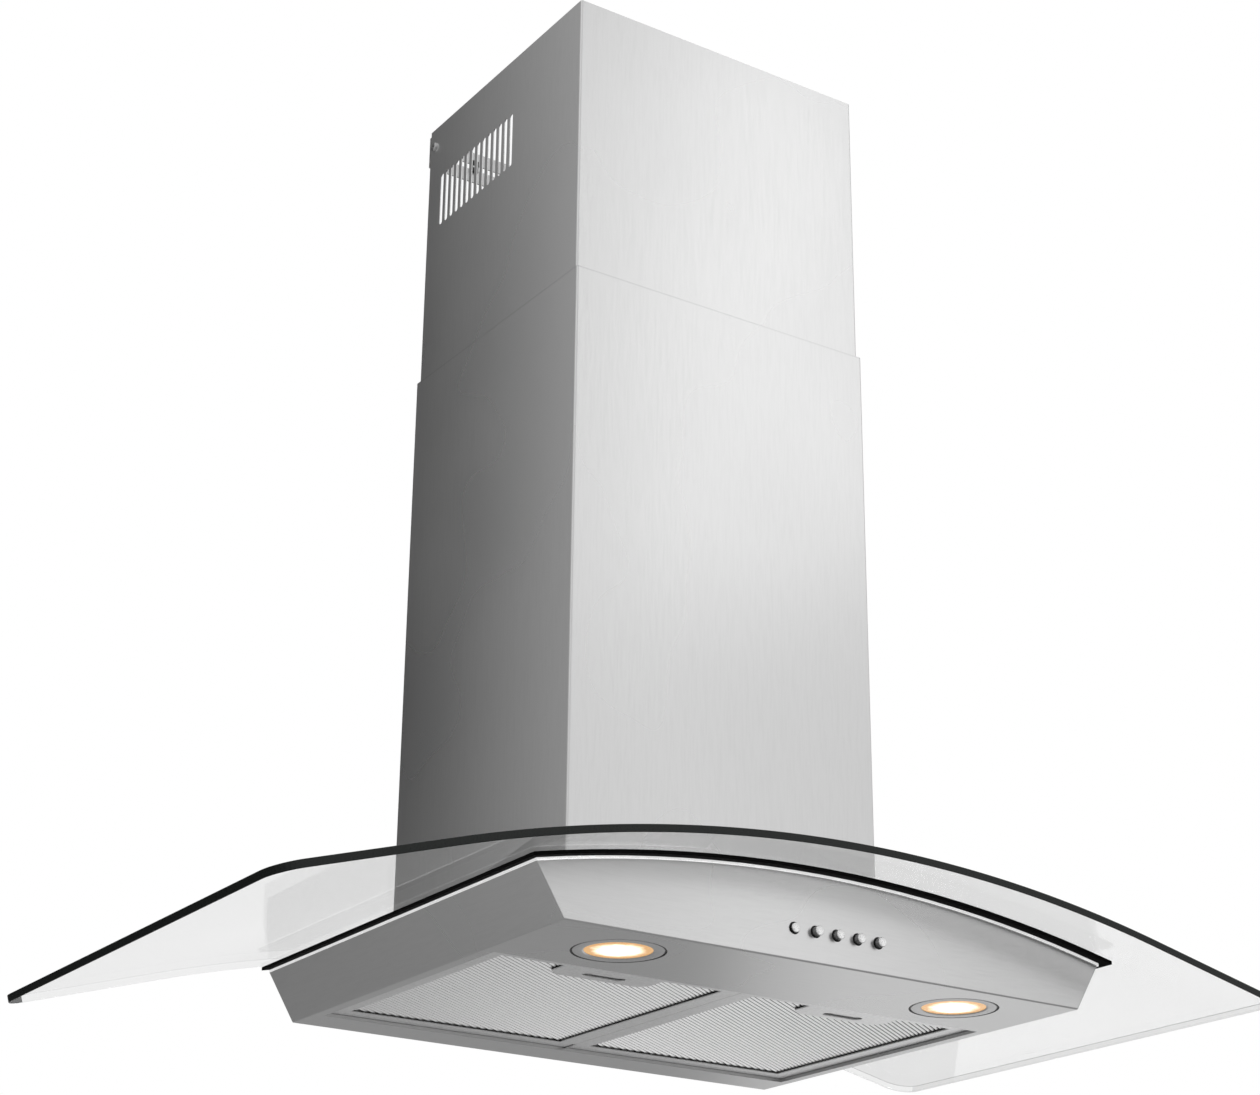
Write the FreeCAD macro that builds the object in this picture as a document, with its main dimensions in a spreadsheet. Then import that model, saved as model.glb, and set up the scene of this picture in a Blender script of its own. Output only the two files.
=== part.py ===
"""Wall-mounted chimney range hood with a curved glass canopy.

Frame: X to the right as seen from the front, Y towards the wall, Z up, in millimetres.
The wall is the plane Y = 0.  Pieces are drawn with the hood's bottom face at Z = 0, and each one
is then lowered by mount_height, so that the origin is the centre of the four wall holes in the
back of the blower box.
The hood's top edge, the lip, the seal and the canopy are bent about one line, the arch axis.  It
runs along Y, arch_drop below the bottom face, and the radii of these pieces are measured from it.
"""
import FreeCAD
import Part
import Sketcher

import math
import os
import re

from FreeCAD import Placement, Rotation, Vector

SIZES = {
    # the whole hood
    "mount_height": 200.0,       # centre of the wall holes above the bottom face
    "sheet": 1.0,                # thickness of the hood's folded steel
    "fold": 1.5,                 # outside radius of the hood's folds
    "arch_drop": 1202.0,
    "arch_radius": 1268.8,       # top edge of the hood's walls
    # hood body
    "body_depth": 419.0,
    "body_bottom_half": 243.0,
    "body_top_half": 266.4,
    "body_side_height": 37.8,    # height of the walls at the two ends of the arch
    "side_skin": 1.2,            # the leaning side walls, measured level
    "blank_height": 80.0,        # walls before the arch is trimmed
    "opening_half": 233.5,       # filter opening in the bottom
    "opening_front": 308.0,
    "opening_back": 38.0,
    "rim_height": 14.0,
    # lip, seal and glass
    "lip_thick": 2.4,
    "lip_overhang": 1.0,
    "air_half": 110.0,           # air passage from the hood into the blower box
    "air_front": 245.0,
    "air_back": 20.0,
    "seal_thick": 2.8,
    "seal_side": 8.0,            # how far the seal stands out past the walls
    "seal_front": 9.0,
    "seal_width": 30.0,
    "glass_thick": 6.0,
    "glass_half": 451.0,         # half width of the canopy, measured along its chord
    "glass_arc_half": 318.5,     # the arch ends here and the straight wings begin
    "glass_front": 480.0,
    "glass_back": 2.0,
    "glass_corner": 22.0,
    "canopy_roll": -2.14,        # the canopy sits this far round the arch, to the left (degrees)
    "notch_half": 129.0,         # the canopy's cut-out around the blower box
    "notch_front": 268.0,
    "clamp_half": 141.0,         # canopy screws
    "clamp_front": 220.0,
    "clamp_back": 60.0,
    "clamp_disc": 8.0,
    "glass_hole": 5.0,
    "clamp_screw": 2.5,
    "clamp_head": 4.75,
    "clamp_head_thick": 2.6,
    "clamp_nut": 4.0,
    "clamp_play": 0.05,
    "washer_thick": 2.0,
    # chimney
    "chimney_sheet": 0.9,
    "chimney_fold": 1.8,         # outside radius of the chimney's folds
    "chimney_flange": 12.0,
    "lower_half": 154.0,
    "lower_depth": 279.0,
    "lower_top": 614.0,
    "upper_half": 152.2,
    "upper_front": 275.1,
    "upper_back": 3.0,
    "upper_bottom": 386.0,
    "upper_top": 886.0,
    "vent_count": 14.0,
    "vent_pitch": 9.8,
    "vent_width": 5.0,
    "vent_length": 55.5,
    "vent_middle": 93.5,         # distance of the middle of the vents from the wall
    "vent_height": 800.0,
    "side_screw_back": 12.5,
    "side_screw_height": 866.0,
    "side_screw": 2.0,
    "side_head": 4.6,
    "side_head_thick": 2.4,
    "side_shank": 6.0,
    "bracket_thick": 1.5,
    "bracket_bottom": 849.0,
    "bracket_tall": 33.4,
    "bracket_slot": 5.6,
    "bracket_slot_length": 96.0,
    "bracket_slot_middle": 92.0,
    "bracket_tab": 26.0,
    "spacer_x": 102.0,
    "spacer_wide": 8.0,
    "spacer_tall": 12.5,
    "spacer_thick": 2.6,
    "glide_thick": 2.2,
    "glide_wide": 16.0,
    "glide_tall": 120.0,
    "glide_top": 14.0,           # top of the strips below the lower cover's top
    # blower box on the wall
    "box_sheet": 1.2,
    "box_half": 125.0,
    "box_front": 262.0,
    "box_bottom": 50.0,          # sides before the arch is trimmed
    "box_top": 330.2,
    "wall_hole": 4.0,
    "wall_hole_x": 100.0,
    "wall_hole_z": 100.0,
    "ear_half": 150.0,
    "ear_bottom": 100.0,
    "ear_tall": 30.0,
    "ear_screw_x": 145.0,
    "ear_head": 3.8,
    "ear_head_thick": 2.0,
    "cover_bottom": 70.0,
    "cover_screw_x": 112.0,
    "cover_screw_edge": 20.0,    # cover screws from the cover's lower and upper edges
    "cover_head": 3.6,
    "cover_head_thick": 1.8,
    "gland_x": 95.0,
    "gland_back": 40.0,
    "gland_radius": 6.0,
    "gland_collar": 9.0,
    "gland_tall": 8.0,
    "gland_bore": 4.2,
    "capacitor_x": 98.0,
    "capacitor_back": 235.0,
    "capacitor_bottom": 92.0,
    "capacitor_radius": 16.0,
    "capacitor_tall": 60.0,
    # blower
    "drum_back": 110.0,          # the blower's axis, from the wall
    "drum_height": 190.0,
    "drum_radius": 95.0,
    "drum_half": 64.0,
    "scroll_wall": 2.0,
    "outlet_front": 205.0,
    "outlet_back": 75.0,
    "inlet_radius": 56.0,
    "wheel_radius": 66.0,
    "wheel_inner": 54.0,
    "wheel_half": 54.0,
    "blade_count": 32.0,
    "blade_thick": 1.2,
    "blade_angle": 28.0,
    "hub_radius": 13.0,
    "hub_long": 28.0,
    "end_ring": 2.0,
    "shaft_radius": 4.0,
    "motor_radius": 40.0,
    "motor_start": 26.0,
    "motor_end": 112.0,
    "motor_cap": 14.0,
    "arm_wide": 14.0,
    "arm_reach": 84.0,
    # outlet collar and its two damper flaps
    "collar_radius": 75.0,
    "collar_wall": 1.6,
    "collar_back": 140.0,
    "collar_tall": 46.0,
    "collar_flange": 88.0,
    "collar_flange_thick": 1.2,
    "flap_height": 352.0,
    "flap_radius": 72.6,
    "flap_thick": 1.0,
    "flap_gap": 3.6,
    "pin_radius": 1.5,
    "pin_play": 0.06,
    "knuckle_radius": 3.0,
    "knuckle_long": 20.0,
    "front_knuckles": 40.0,      # middles of the front flap's two knuckles from the middle
    "back_knuckles": 18.0,
    # filters
    "filter_bottom": 3.0,
    "filter_thick": 9.0,
    "filter_inner": 0.2,         # half the gap between the two filters
    "hanger_room": 1.6,          # half the room around the hanger, notched into both frames
    "hanger_front": 8.0,         # hanger in front of the filters' swing line
    "hanger_bottom": 2.0,
    "pin_gap": 0.2,              # inner pins from the middle of the hanger
    "filter_clear": 1.0,         # gap between a filter and the rim
    "filter_rail": 15.0,
    "filter_skin": 1.0,
    "mesh_gap": 1.5,
    "mesh_thick": 2.0,
    "pivot_back": 44.0,
    "pivot_height": 5.0,
    "filter_pin": 1.5,
    "hanger_half": 0.8,
    "tab_half": 45.0,
    "tab_back": 264.5,
    "tab_chamfer": 8.0,
    "pull_back": 277.0,
    "pull_half": 19.0,
    "pull_wide": 10.0,
    "latch_half": 28.0,
    "latch_thick": 1.2,
    "latch_bottom": 4.8,
    "latch_front": 304.0,
    "latch_back": 268.5,
    "latch_travel": 4.0,
    "latch_lip_half": 13.0,
    "latch_lip": 1.4,
    "latch_play": 0.4,
    "nose_half": 11.0,
    "nose_front": 307.5,
    # lamps
    "lamp_x": 160.5,
    "lamp_front": 364.0,
    "lamp_hole": 36.0,
    "bezel_radius": 35.0,
    "lens_radius": 25.8,
    "lens_thick": 3.0,
    "can_radius": 31.0,
    "can_flange": 43.0,
    "can_top": 30.0,
    "can_wall": 1.0,
    "lens_bottom": 0.2,
    "bulb_radius": 5.0,
    "bulb_bottom": 8.0,
    "bulb_tall": 14.0,
    "socket_radius": 8.0,
    # push buttons
    "button_pitch": 20.0,
    "button_height": 24.2,
    "button_hole": 4.8,
    "button_radius": 3.7,
    "button_out": 5.5,
    "button_stroke": 3.1,        # the first button is stored pressed by this much
    "button_length": 17.0,
    "button_fit": 0.08,
    "button_flange": 5.0,
    "button_flange_thick": 1.2,
    "guide_half": 52.0,
    "guide_thick": 9.0,
    "guide_bottom": 17.0,
    "guide_tall": 14.4,
    "guide_collar": 0.6,         # collars of the guide that reach into the holes
    "guide_collar_play": 0.2,
    "switch_front": 392.0,
    "switch_deep": 22.0,
    "plunger": 2.0,
    "plunger_out": 11.6,
    # terminal box
    "terminal_x": 62.0,
    "terminal_front": 400.0,
    "terminal_wide": 54.0,
    "terminal_deep": 70.0,
    "terminal_tall": 34.0,
    "terminal_wall": 2.0,
}

doc = FreeCAD.newDocument("RangeHood")
sheet = doc.addObject("Spreadsheet::Sheet", "Sizes")
for row, (alias, value) in enumerate(SIZES.items(), start=1):
    sheet.set(f"A{row}", alias)
    sheet.set(f"B{row}", str(value))
    sheet.setAlias(f"B{row}", alias)
doc.recompute()

NODES = []
LYING = Rotation(Vector(1, 0, 0), 90)      # turns a cylinder's axis from +Z to -Y, away from the wall
SIDEWAYS = Rotation(Vector(0, 1, 0), 90)   # turns a cylinder's axis from +Z to +X


def cell(alias):
    """The value of one cell of the sheet."""
    return float(sheet.get(alias))


def bound(text):
    """An expression in the sheet's terms, from one that uses the plain aliases."""
    return re.sub(r"[a-z_]+", lambda word: f"Sizes.{word[0]}" if word[0] in SIZES else word[0], text)


def bind(thing, prop, text):
    """Bind a property to an expression of sizes."""
    thing.setExpression(prop, bound(str(text)))


def place(thing, corner, turn=None):
    """Put an object at a position given as three expressions, with an optional rotation."""
    thing.Placement = Placement(Vector(0, 0, 0), turn or Rotation())
    for axis, text in zip("xyz", corner):
        bind(thing, f"Placement.Base.{axis}", text)
    return thing


def box(low, size, name="Block"):
    """A box from its lowest corner and its three sizes."""
    block = doc.addObject("Part::Box", name)
    for prop, text in zip(("Length", "Width", "Height"), size):
        bind(block, prop, text)
    return place(block, low)


def round_bar(radius, length, start, turn=None, name="Round"):
    """A cylinder that starts at a point and runs along its turned axis."""
    bar = doc.addObject("Part::Cylinder", name)
    bind(bar, "Radius", radius)
    bind(bar, "Height", length)
    return place(bar, start, turn)


def fuse(*parts):
    """One solid from several."""
    joined = doc.addObject("Part::MultiFuse", "Fuse")
    joined.Shapes = list(parts)
    return joined


def cut(base, *tools):
    """A piece with every tool taken out of it."""
    for tool in tools:
        result = doc.addObject("Part::Cut", "Cut")
        result.Base, result.Tool = base, tool
        base = result
    return base


def common(first, second):
    """What two pieces share."""
    shared = doc.addObject("Part::MultiCommon", "Common")
    shared.Shapes = [first, second]
    return shared


def group(*parts):
    """Several identical solids in one node."""
    several = doc.addObject("Part::Compound", "Group")
    several.Links = list(parts)
    return several


def node(label, thing):
    """Name a finished piece and lower it so that the origin is at the wall holes."""
    height = dict(thing.ExpressionEngine).get(".Placement.Base.z", "0")
    thing.setExpression("Placement.Base.z", f"({height}) - Sizes.mount_height")
    thing.Label = label
    NODES.append(thing)
    return thing


def new_body(name):
    """An empty PartDesign body."""
    return doc.addObject("PartDesign::Body", name)


def new_sketch(body, role, offset="0"):
    """A sketch on one of a body's own origin planes, moved along the plane's normal."""
    plane = next(item for item in body.Origin.OriginFeatures if item.Role == role)
    drawing = body.newObject("Sketcher::SketchObject", body.Name + "Sketch")
    drawing.AttachmentSupport = (plane, [""])
    drawing.MapMode = "FlatFace"
    bind(drawing, "AttachmentOffset.Base.z", offset)
    return drawing


def fix_point(drawing, line, end, across, up):
    """Hold one end of a line at two expressions, measured from the sketch's origin."""
    for kind, axis, text in (("DistanceX", -2, across), ("DistanceY", -1, up)):
        if text == "0":
            drawing.addConstraint(Sketcher.Constraint("PointOnObject", line, end, axis))
            continue
        value = float(drawing.evalExpression(bound(text)))
        index = drawing.addConstraint(Sketcher.Constraint(kind, -1, 1, line, end, value))
        drawing.setExpression(f"Constraints[{index}]", bound(text))


def outline(drawing, corners):
    """A closed outline of straight lines through corners given as pairs of expressions."""
    points = [Vector(*(float(drawing.evalExpression(bound(text))) for text in corner)) for corner in corners]
    first = drawing.GeometryCount
    for index, point in enumerate(points):
        drawing.addGeometry(Part.LineSegment(point, points[(index + 1) % len(points)]), False)
    for index, corner in enumerate(corners):
        before = first + (index - 1) % len(corners)
        drawing.addConstraint(Sketcher.Constraint("Coincident", before, 2, first + index, 1))
        fix_point(drawing, first + index, 1, *corner)
    return drawing


def circles(drawing, *radii):
    """Circles about the sketch's origin."""
    for text in radii:
        radius = float(drawing.evalExpression(bound(text)))
        ring = drawing.addGeometry(Part.Circle(Vector(0, 0, 0), Vector(0, 0, 1), radius), False)
        drawing.addConstraint(Sketcher.Constraint("Coincident", ring, 3, -1, 1))
        index = drawing.addConstraint(Sketcher.Constraint("Radius", ring, radius))
        drawing.setExpression(f"Constraints[{index}]", bound(text))
    return drawing


def pad(body, drawing, length, midplane=False):
    """Thicken a sketch along its normal, or to both sides of it."""
    feature = body.newObject("PartDesign::Pad", body.Name + "Pad")
    feature.Profile = drawing
    feature.Midplane = midplane
    bind(feature, "Length", length)
    return feature


def pocket(body, drawing, length, midplane=False):
    """Cut a sketch out of a body along the sketch's normal, or to both sides of it."""
    before = recomputed_volume(body)
    feature = body.newObject("PartDesign::Pocket", body.Name + "Pocket")
    feature.Profile = drawing
    feature.Midplane = midplane
    feature.Reversed = not midplane
    bind(feature, "Length", length)
    if recomputed_volume(body) > before - 1.0:
        raise SystemExit(f"{feature.Name} cuts nothing out of {body.Name}")
    return feature


def round_edges(body, feature, radius, chosen):
    """Round the edges of a body's feature that a test of their two ends picks."""
    doc.recompute()
    edges = []
    for number, edge in enumerate(feature.Shape.Edges, start=1):
        ends = [vertex.Point for vertex in edge.Vertexes]
        if len(ends) == 2 and chosen(*ends):
            edges.append(f"Edge{number}")
    rounding = body.newObject("PartDesign::Fillet", body.Name + "Folds")
    rounding.Base = (feature, edges)
    bind(rounding, "Radius", radius)
    return rounding


def recomputed_volume(body):
    """A body's volume once everything is up to date."""
    doc.recompute()
    return body.Shape.Volume


# ---------------------------------------------------------------- shapes bent about the arch axis

def arch_cylinder(radius):
    """A long cylinder about the arch axis, from the wall to well in front of the hood."""
    return round_bar(radius, "glass_front + 20", ("0", "10", "-arch_drop"), LYING, "Arch")


def arch_slab(radius, thick, half, front, back):
    """A plate bent about the arch axis, with straight edges in plan."""
    ring = cut(arch_cylinder(f"{radius} + {thick}"), arch_cylinder(radius))
    return common(ring, box((f"-({half})", f"-({front})", "0"),
                            (f"2 * ({half})", f"{front} - ({back})", "2 * blank_height"), "Plan"))


def radial_bar(radius, start, length, side, away):
    """A cylinder square to the arch at a canopy screw: start is its distance from the arch axis."""
    lean = f"asin(clamp_half / ({GLASS_INSIDE}))"
    turn = Rotation(Vector(0, 1, 0), side * math.degrees(math.asin(cell("clamp_half") / GLASS_RADIUS)))
    where = (f"{side} * ({start}) * clamp_half / ({GLASS_INSIDE})", f"-({away})",
             f"({start}) * cos({lean}) - arch_drop")
    return round_bar(radius, length, where, turn)


def at_clamps(radius, start, length):
    """The same bar at each of the four canopy screws."""
    return [radial_bar(radius, start, length, side, away)
            for side in (-1, 1) for away in ("clamp_front", "clamp_back")]


LIP_INSIDE = "arch_radius"
SEAL_INSIDE = "arch_radius + lip_thick"
GLASS_INSIDE = "arch_radius + lip_thick + seal_thick"
GLASS_OUTSIDE = "arch_radius + lip_thick + seal_thick + glass_thick"
GLASS_RADIUS = cell("arch_radius") + cell("lip_thick") + cell("seal_thick")


# ---------------------------------------------------------------- hood body

def wall_half(height, inset="0"):
    """Half width of the hood at a height, less an inset: the side walls lean outwards."""
    lean = "(body_top_half - body_bottom_half) / body_side_height"
    return f"body_bottom_half + {lean} * ({height}) - {inset}"


def wall_outline(drawing, bottom, inset):
    """The hood's outline from the front, left tall for the arch to trim."""
    low, high = wall_half(bottom, inset), wall_half("blank_height", inset)
    return outline(drawing, [(f"-({low})", bottom), (low, bottom),
                             (high, "blank_height"), (f"-({high})", "blank_height")])


def button_x(number):
    """Middle of a button, counted from 0 on the left."""
    return f"{number - 2} * button_pitch"


def hood_body():
    """Folded shell: front, leaning sides and bottom, with the rim of the filter opening."""
    shell = new_body("HoodShell")
    blank = pad(shell, wall_outline(new_sketch(shell, "XZ_Plane"), "0", "0"), "body_depth")
    front = -cell("body_depth")

    def folded_edge(start, end):
        across_front = abs(start.y - front) + abs(end.y - front) < 0.01
        across_bottom = abs(start.z) + abs(end.z) < 0.01
        at_wall = abs(start.y) + abs(end.y) < 0.01
        return (across_front or across_bottom) and not at_wall

    round_edges(shell, blank, "fold", folded_edge)
    pocket(shell, wall_outline(new_sketch(shell, "XZ_Plane"), "sheet", "side_skin"), "body_depth - sheet")
    rim = box(("-(opening_half + sheet)", "-(opening_front + sheet)", "0"),
              ("2 * (opening_half + sheet)", "opening_front - opening_back + 2 * sheet", "rim_height"))
    hanger_deep = "pivot_back + hanger_front - opening_back"
    hanger = box(("-hanger_half", "-(pivot_back + hanger_front)", "hanger_bottom"),
                 ("2 * hanger_half", hanger_deep, "rim_height - hanger_bottom"))
    opening = box(("-opening_half", "-opening_front", "-1"),
                  ("2 * opening_half", "opening_front - opening_back", "rim_height + 2"), "Opening")
    pins = round_bar("filter_pin + pin_play", "2 * opening_half + 20",
                     ("-(opening_half + 10)", "-pivot_back", "pivot_height"), SIDEWAYS)
    lamps = [round_bar("lamp_hole", "10", (f"{side} * lamp_x", "-lamp_front", "-1")) for side in (-1, 1)]
    buttons = [round_bar("button_hole", "20", (button_x(number), "10 - body_depth", "button_height"), LYING)
               for number in range(5)]
    folded = cut(fuse(shell, rim), opening, *lamps, *buttons)
    return node("hood_body", common(cut(fuse(folded, hanger), pins), arch_cylinder(LIP_INSIDE)))


def back_panel():
    """Closes the hood at the wall, between the side walls."""
    panel = new_body("BackPanel")
    pad(panel, wall_outline(new_sketch(panel, "XZ_Plane"), "sheet", "side_skin"), "sheet")
    return node("back_panel", common(panel, arch_cylinder(LIP_INSIDE)))


def lip_plate():
    """Bent carrier plate on the hood's walls: its edge is the bright lip under the seal."""
    plate = arch_slab(LIP_INSIDE, "lip_thick", "body_top_half + lip_overhang",
                      "body_depth + lip_overhang", "0")
    air = box(("-air_half", "-air_front", "0"), ("2 * air_half", "air_front - air_back", "2 * blank_height"))
    return node("lip_plate", cut(plate, air, *at_clamps("clamp_screw", "arch_radius - 5", "20")))


def canopy_seal():
    """Rubber strip between the lip and the glass: two sides and the front, in one piece."""
    half = "body_top_half + seal_side"
    front = "body_depth + seal_front"
    inside = box((f"seal_width - ({half})", f"seal_width - ({front})", "0"),
                 (f"2 * ({half} - seal_width)", f"{front}", "2 * blank_height"))
    return node("canopy_seal", cut(arch_slab(SEAL_INSIDE, "seal_thick", half, front, "0"), inside))


# ---------------------------------------------------------------- glass canopy

def canopy_section(drawing):
    """Arch and straight wings of the canopy, seen from the front."""
    axis = Vector(0, -cell("arch_drop"), 0)
    slope = math.asin(cell("glass_arc_half") / GLASS_RADIUS)
    wing = (cell("glass_half") - cell("glass_arc_half")) / math.cos(slope)
    ends = []
    for thick in (0.0, cell("glass_thick")):
        radius = GLASS_RADIUS + thick
        arc = Part.ArcOfCircle(Part.Circle(axis, Vector(0, 0, 1), radius),
                               math.pi / 2 - slope, math.pi / 2 + slope)
        ends.append((drawing.addGeometry(arc, False), arc))
        index = drawing.addConstraint(Sketcher.Constraint("Radius", ends[-1][0], radius))
        inside = GLASS_OUTSIDE if thick else GLASS_INSIDE
        drawing.setExpression(f"Constraints[{index}]", bound(inside))
    for side in (1, -1):
        along = Vector(side * math.cos(slope), -math.sin(slope), 0) * wing
        starts = [arc.StartPoint if side > 0 else arc.EndPoint for _, arc in ends]
        tips = [start + along for start in starts]
        lines = [drawing.addGeometry(Part.LineSegment(*pair), False)
                 for pair in ((starts[0], tips[0]), (starts[1], tips[1]), (tips[0], tips[1]))]
        for line, (arc, _) in zip(lines, ends):
            drawing.addConstraint(Sketcher.Constraint("Coincident", line, 1, arc, 1 if side > 0 else 2))
        for end, line in ((1, lines[0]), (2, lines[1])):
            drawing.addConstraint(Sketcher.Constraint("Coincident", lines[2], end, line, 2))
    return drawing


def glass_canopy():
    """Bent safety glass, rolled a little round the arch, with a cut-out for the blower box."""
    pane = new_body("GlassPane")
    blank = pad(pane, canopy_section(new_sketch(pane, "XZ_Plane", "glass_back")), "glass_front - glass_back")
    tip = cell("glass_half") - 5
    round_edges(pane, blank, "glass_corner",
                lambda start, end: abs(start.y - end.y) < 0.01 and min(abs(start.x), abs(end.x)) > tip)
    place(pane, ("arch_drop * sin(canopy_roll)", "0", "arch_drop * (cos(canopy_roll) - 1)"),
          Rotation(Vector(0, 1, 0), cell("canopy_roll")))
    notch = box(("-notch_half", "-notch_front", "0"), ("2 * notch_half", "notch_front", "2 * blank_height"))
    return node("glass_canopy", cut(pane, notch, *at_clamps("glass_hole", GLASS_INSIDE + " - 5", "20")))


def canopy_clamps():
    """Rubber pads under the glass, nylon washers over it, screws and nuts."""
    node("canopy_pads", group(*[cut(disc, hole) for disc, hole in zip(
        at_clamps("clamp_disc", SEAL_INSIDE, "seal_thick - clamp_play"),
        at_clamps("clamp_screw", SEAL_INSIDE + " - 1", "seal_thick + 2"))]))
    node("canopy_washers", group(*[cut(disc, hole) for disc, hole in zip(
        at_clamps("clamp_disc", GLASS_OUTSIDE, "washer_thick"),
        at_clamps("clamp_screw", GLASS_OUTSIDE + " - 1", "washer_thick + 2"))]))
    shanks = at_clamps("clamp_screw", LIP_INSIDE + " - 8",
                       GLASS_OUTSIDE + " + washer_thick + 8 - arch_radius")
    heads = at_clamps("clamp_head", GLASS_OUTSIDE + " + washer_thick", "clamp_head_thick")
    node("canopy_screws", group(*[fuse(shank, head) for shank, head in zip(shanks, heads)]))
    nuts = at_clamps("clamp_head", LIP_INSIDE + " - clamp_nut", "clamp_nut - clamp_play")
    holes = at_clamps("clamp_screw", LIP_INSIDE + " - clamp_nut - 1", "clamp_nut + 2")
    node("canopy_nuts", group(*[cut(nut, hole) for nut, hole in zip(nuts, holes)]))


# ---------------------------------------------------------------- chimney

def column(name, half, front, back, bottom, top, radius):
    """An upright block with rounded corners."""
    block = new_body(name)
    plan = outline(new_sketch(block, "XY_Plane", bottom), [
        (f"-({half})", f"-({front})"), (half, f"-({front})"),
        (half, f"-({back})"), (f"-({half})", f"-({back})")])
    upright_block = pad(block, plan, f"{top} - ({bottom})")
    round_edges(block, upright_block, radius, lambda start, end: abs(start.z - end.z) > 1.0)
    return block


def channel(name, half, front, back, bottom, top):
    """Folded chimney cover, open at the wall between two narrow flanges."""
    inset = "chimney_sheet"
    outside = column(name, half, front, back, bottom, top, "chimney_fold")
    inside = column(f"{name}Inside", f"{half} - {inset}", f"{front} - {inset}", f"{back} + {inset}",
                    f"{bottom} - 1", f"{top} + 1", f"chimney_fold - {inset}")
    mouth = box((f"chimney_flange - {half}", f"-({back} + 2 * {inset})", f"{bottom} - 1"),
                (f"2 * ({half} - chimney_flange)", f"4 * {inset}", f"{top} - ({bottom}) + 2"))
    return cut(outside, inside, mouth)


def lower_chimney():
    """Lower cover, standing on the glass and screwed to the ears of the blower box."""
    cover = channel("LowerCover", "lower_half", "lower_depth", "0", "50", "lower_top")
    return node("lower_chimney", cut(cover, arch_cylinder(GLASS_OUTSIDE + " + 0.2"),
                                     *ear_holes("side_screw")))


def vent(number):
    """One rounded vent slot through both sides of the upper cover."""
    where = f"-vent_middle + ({number} - (vent_count - 1) / 2) * vent_pitch"
    straight = "(vent_length - vent_width) / 2"
    start, across = "-(upper_half + 10)", "2 * upper_half + 20"
    middle = box((start, f"{where} - vent_width / 2", f"vent_height - {straight}"),
                 (across, "vent_width", f"2 * {straight}"))
    ends = [round_bar("vent_width / 2", across, (start, where, f"vent_height {sign} {straight}"), SIDEWAYS)
            for sign in "+-"]
    return fuse(middle, *ends)


def upper_chimney():
    """Upper cover, sliding inside the lower one, with vents and screw holes near its top."""
    cover = channel("UpperCover", "upper_half", "upper_front", "upper_back", "upper_bottom", "upper_top")
    relief = box(("chimney_sheet - upper_half", "-(upper_back + 2 * chimney_sheet)", "bracket_bottom - 4"),
                 ("2 * (upper_half - chimney_sheet)", "4 * chimney_sheet", "60"))
    vents = [vent(number) for number in range(int(cell("vent_count")))]
    return node("upper_chimney", cut(cover, relief, side_screw_bar("side_screw", "-(upper_half + 10)",
                                                                  "2 * upper_half + 20"), *vents))


def side_screw_bar(radius, start, length):
    """A bar along the line of the two side screws."""
    return round_bar(radius, length, (start, "-side_screw_back", "side_screw_height"), SIDEWAYS)


def upper_bracket():
    """Wall strip with long slots and a forward tab at each end for the side screws."""
    inside = "(upper_half - chimney_sheet)"
    strip = box((f"-{inside}", "-bracket_thick", "bracket_bottom"),
                (f"2 * {inside}", "bracket_thick", "bracket_tall"))
    tabs = [box((start, "-bracket_tab", "bracket_bottom"), ("bracket_thick", "bracket_tab", "bracket_tall"))
            for start in (f"-{inside}", f"{inside} - bracket_thick")]
    slots = [box((f"{side} * bracket_slot_middle - bracket_slot_length / 2", "-5",
                  "side_screw_height - bracket_slot / 2"), ("bracket_slot_length", "10", "bracket_slot"))
             for side in (-1, 1)]
    holes = side_screw_bar("side_screw", "-(upper_half + 10)", "2 * upper_half + 20")
    node("upper_bracket", cut(fuse(strip, *tabs), *slots, holes))
    spacers = [cut(box((f"{side} * spacer_x - spacer_wide / 2", "-(bracket_thick + spacer_thick)",
                        "side_screw_height - spacer_tall / 2"),
                       ("spacer_wide", "spacer_thick", "spacer_tall")),
                   round_bar("side_screw", "10", (f"{side} * spacer_x", "0", "side_screw_height"), LYING))
               for side in (-1, 1)]
    node("bracket_spacers", group(*spacers))


def side_screws():
    """The two visible screws through the chimney's sides into the bracket's tabs."""
    screws = []
    starts = (("-(upper_half + side_head_thick)", "-upper_half"), ("upper_half", "upper_half - side_shank"))
    for head, shank in starts:
        screws.append(fuse(side_screw_bar("side_head", head, "side_head_thick"),
                           side_screw_bar("side_screw", shank, "side_shank")))
    node("side_screws", group(*screws))


def glide_strips():
    """Two plastic strips inside the lower cover's front, which the upper cover slides past."""
    strips = [box((f"{side} * upper_half / 2 - glide_wide / 2", "chimney_sheet - lower_depth",
                   "lower_top - glide_tall - glide_top"), ("glide_wide", "glide_thick", "glide_tall"))
              for side in (-1, 1)]
    node("glide_strips", group(*strips))


# ---------------------------------------------------------------- blower box

def ear_holes(radius):
    """Bars along the two screws that hold the lower cover to the ears."""
    return [round_bar(radius, "20", (f"{side} * ear_screw_x", "5", "ear_bottom + ear_tall / 2"), LYING)
            for side in (-1, 1)]


def wall_plate():
    """Back of the blower box: it carries the hood on four wall screws and has an ear at each side."""
    back = box(("-box_half", "-box_sheet", "box_bottom"),
               ("2 * box_half", "box_sheet", "box_top - box_bottom"))
    ears = box(("-ear_half", "-2 * box_sheet", "ear_bottom"), ("2 * ear_half", "box_sheet", "ear_tall"))
    holes = [round_bar("wall_hole", "20",
                       (f"{side} * wall_hole_x", "5", f"mount_height {sign} wall_hole_z"), LYING)
             for side in (-1, 1) for sign in "+-"]
    plate = cut(fuse(back, ears), arch_cylinder(SEAL_INSIDE), *holes, *ear_holes("side_screw"))
    return node("wall_plate", plate)


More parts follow.
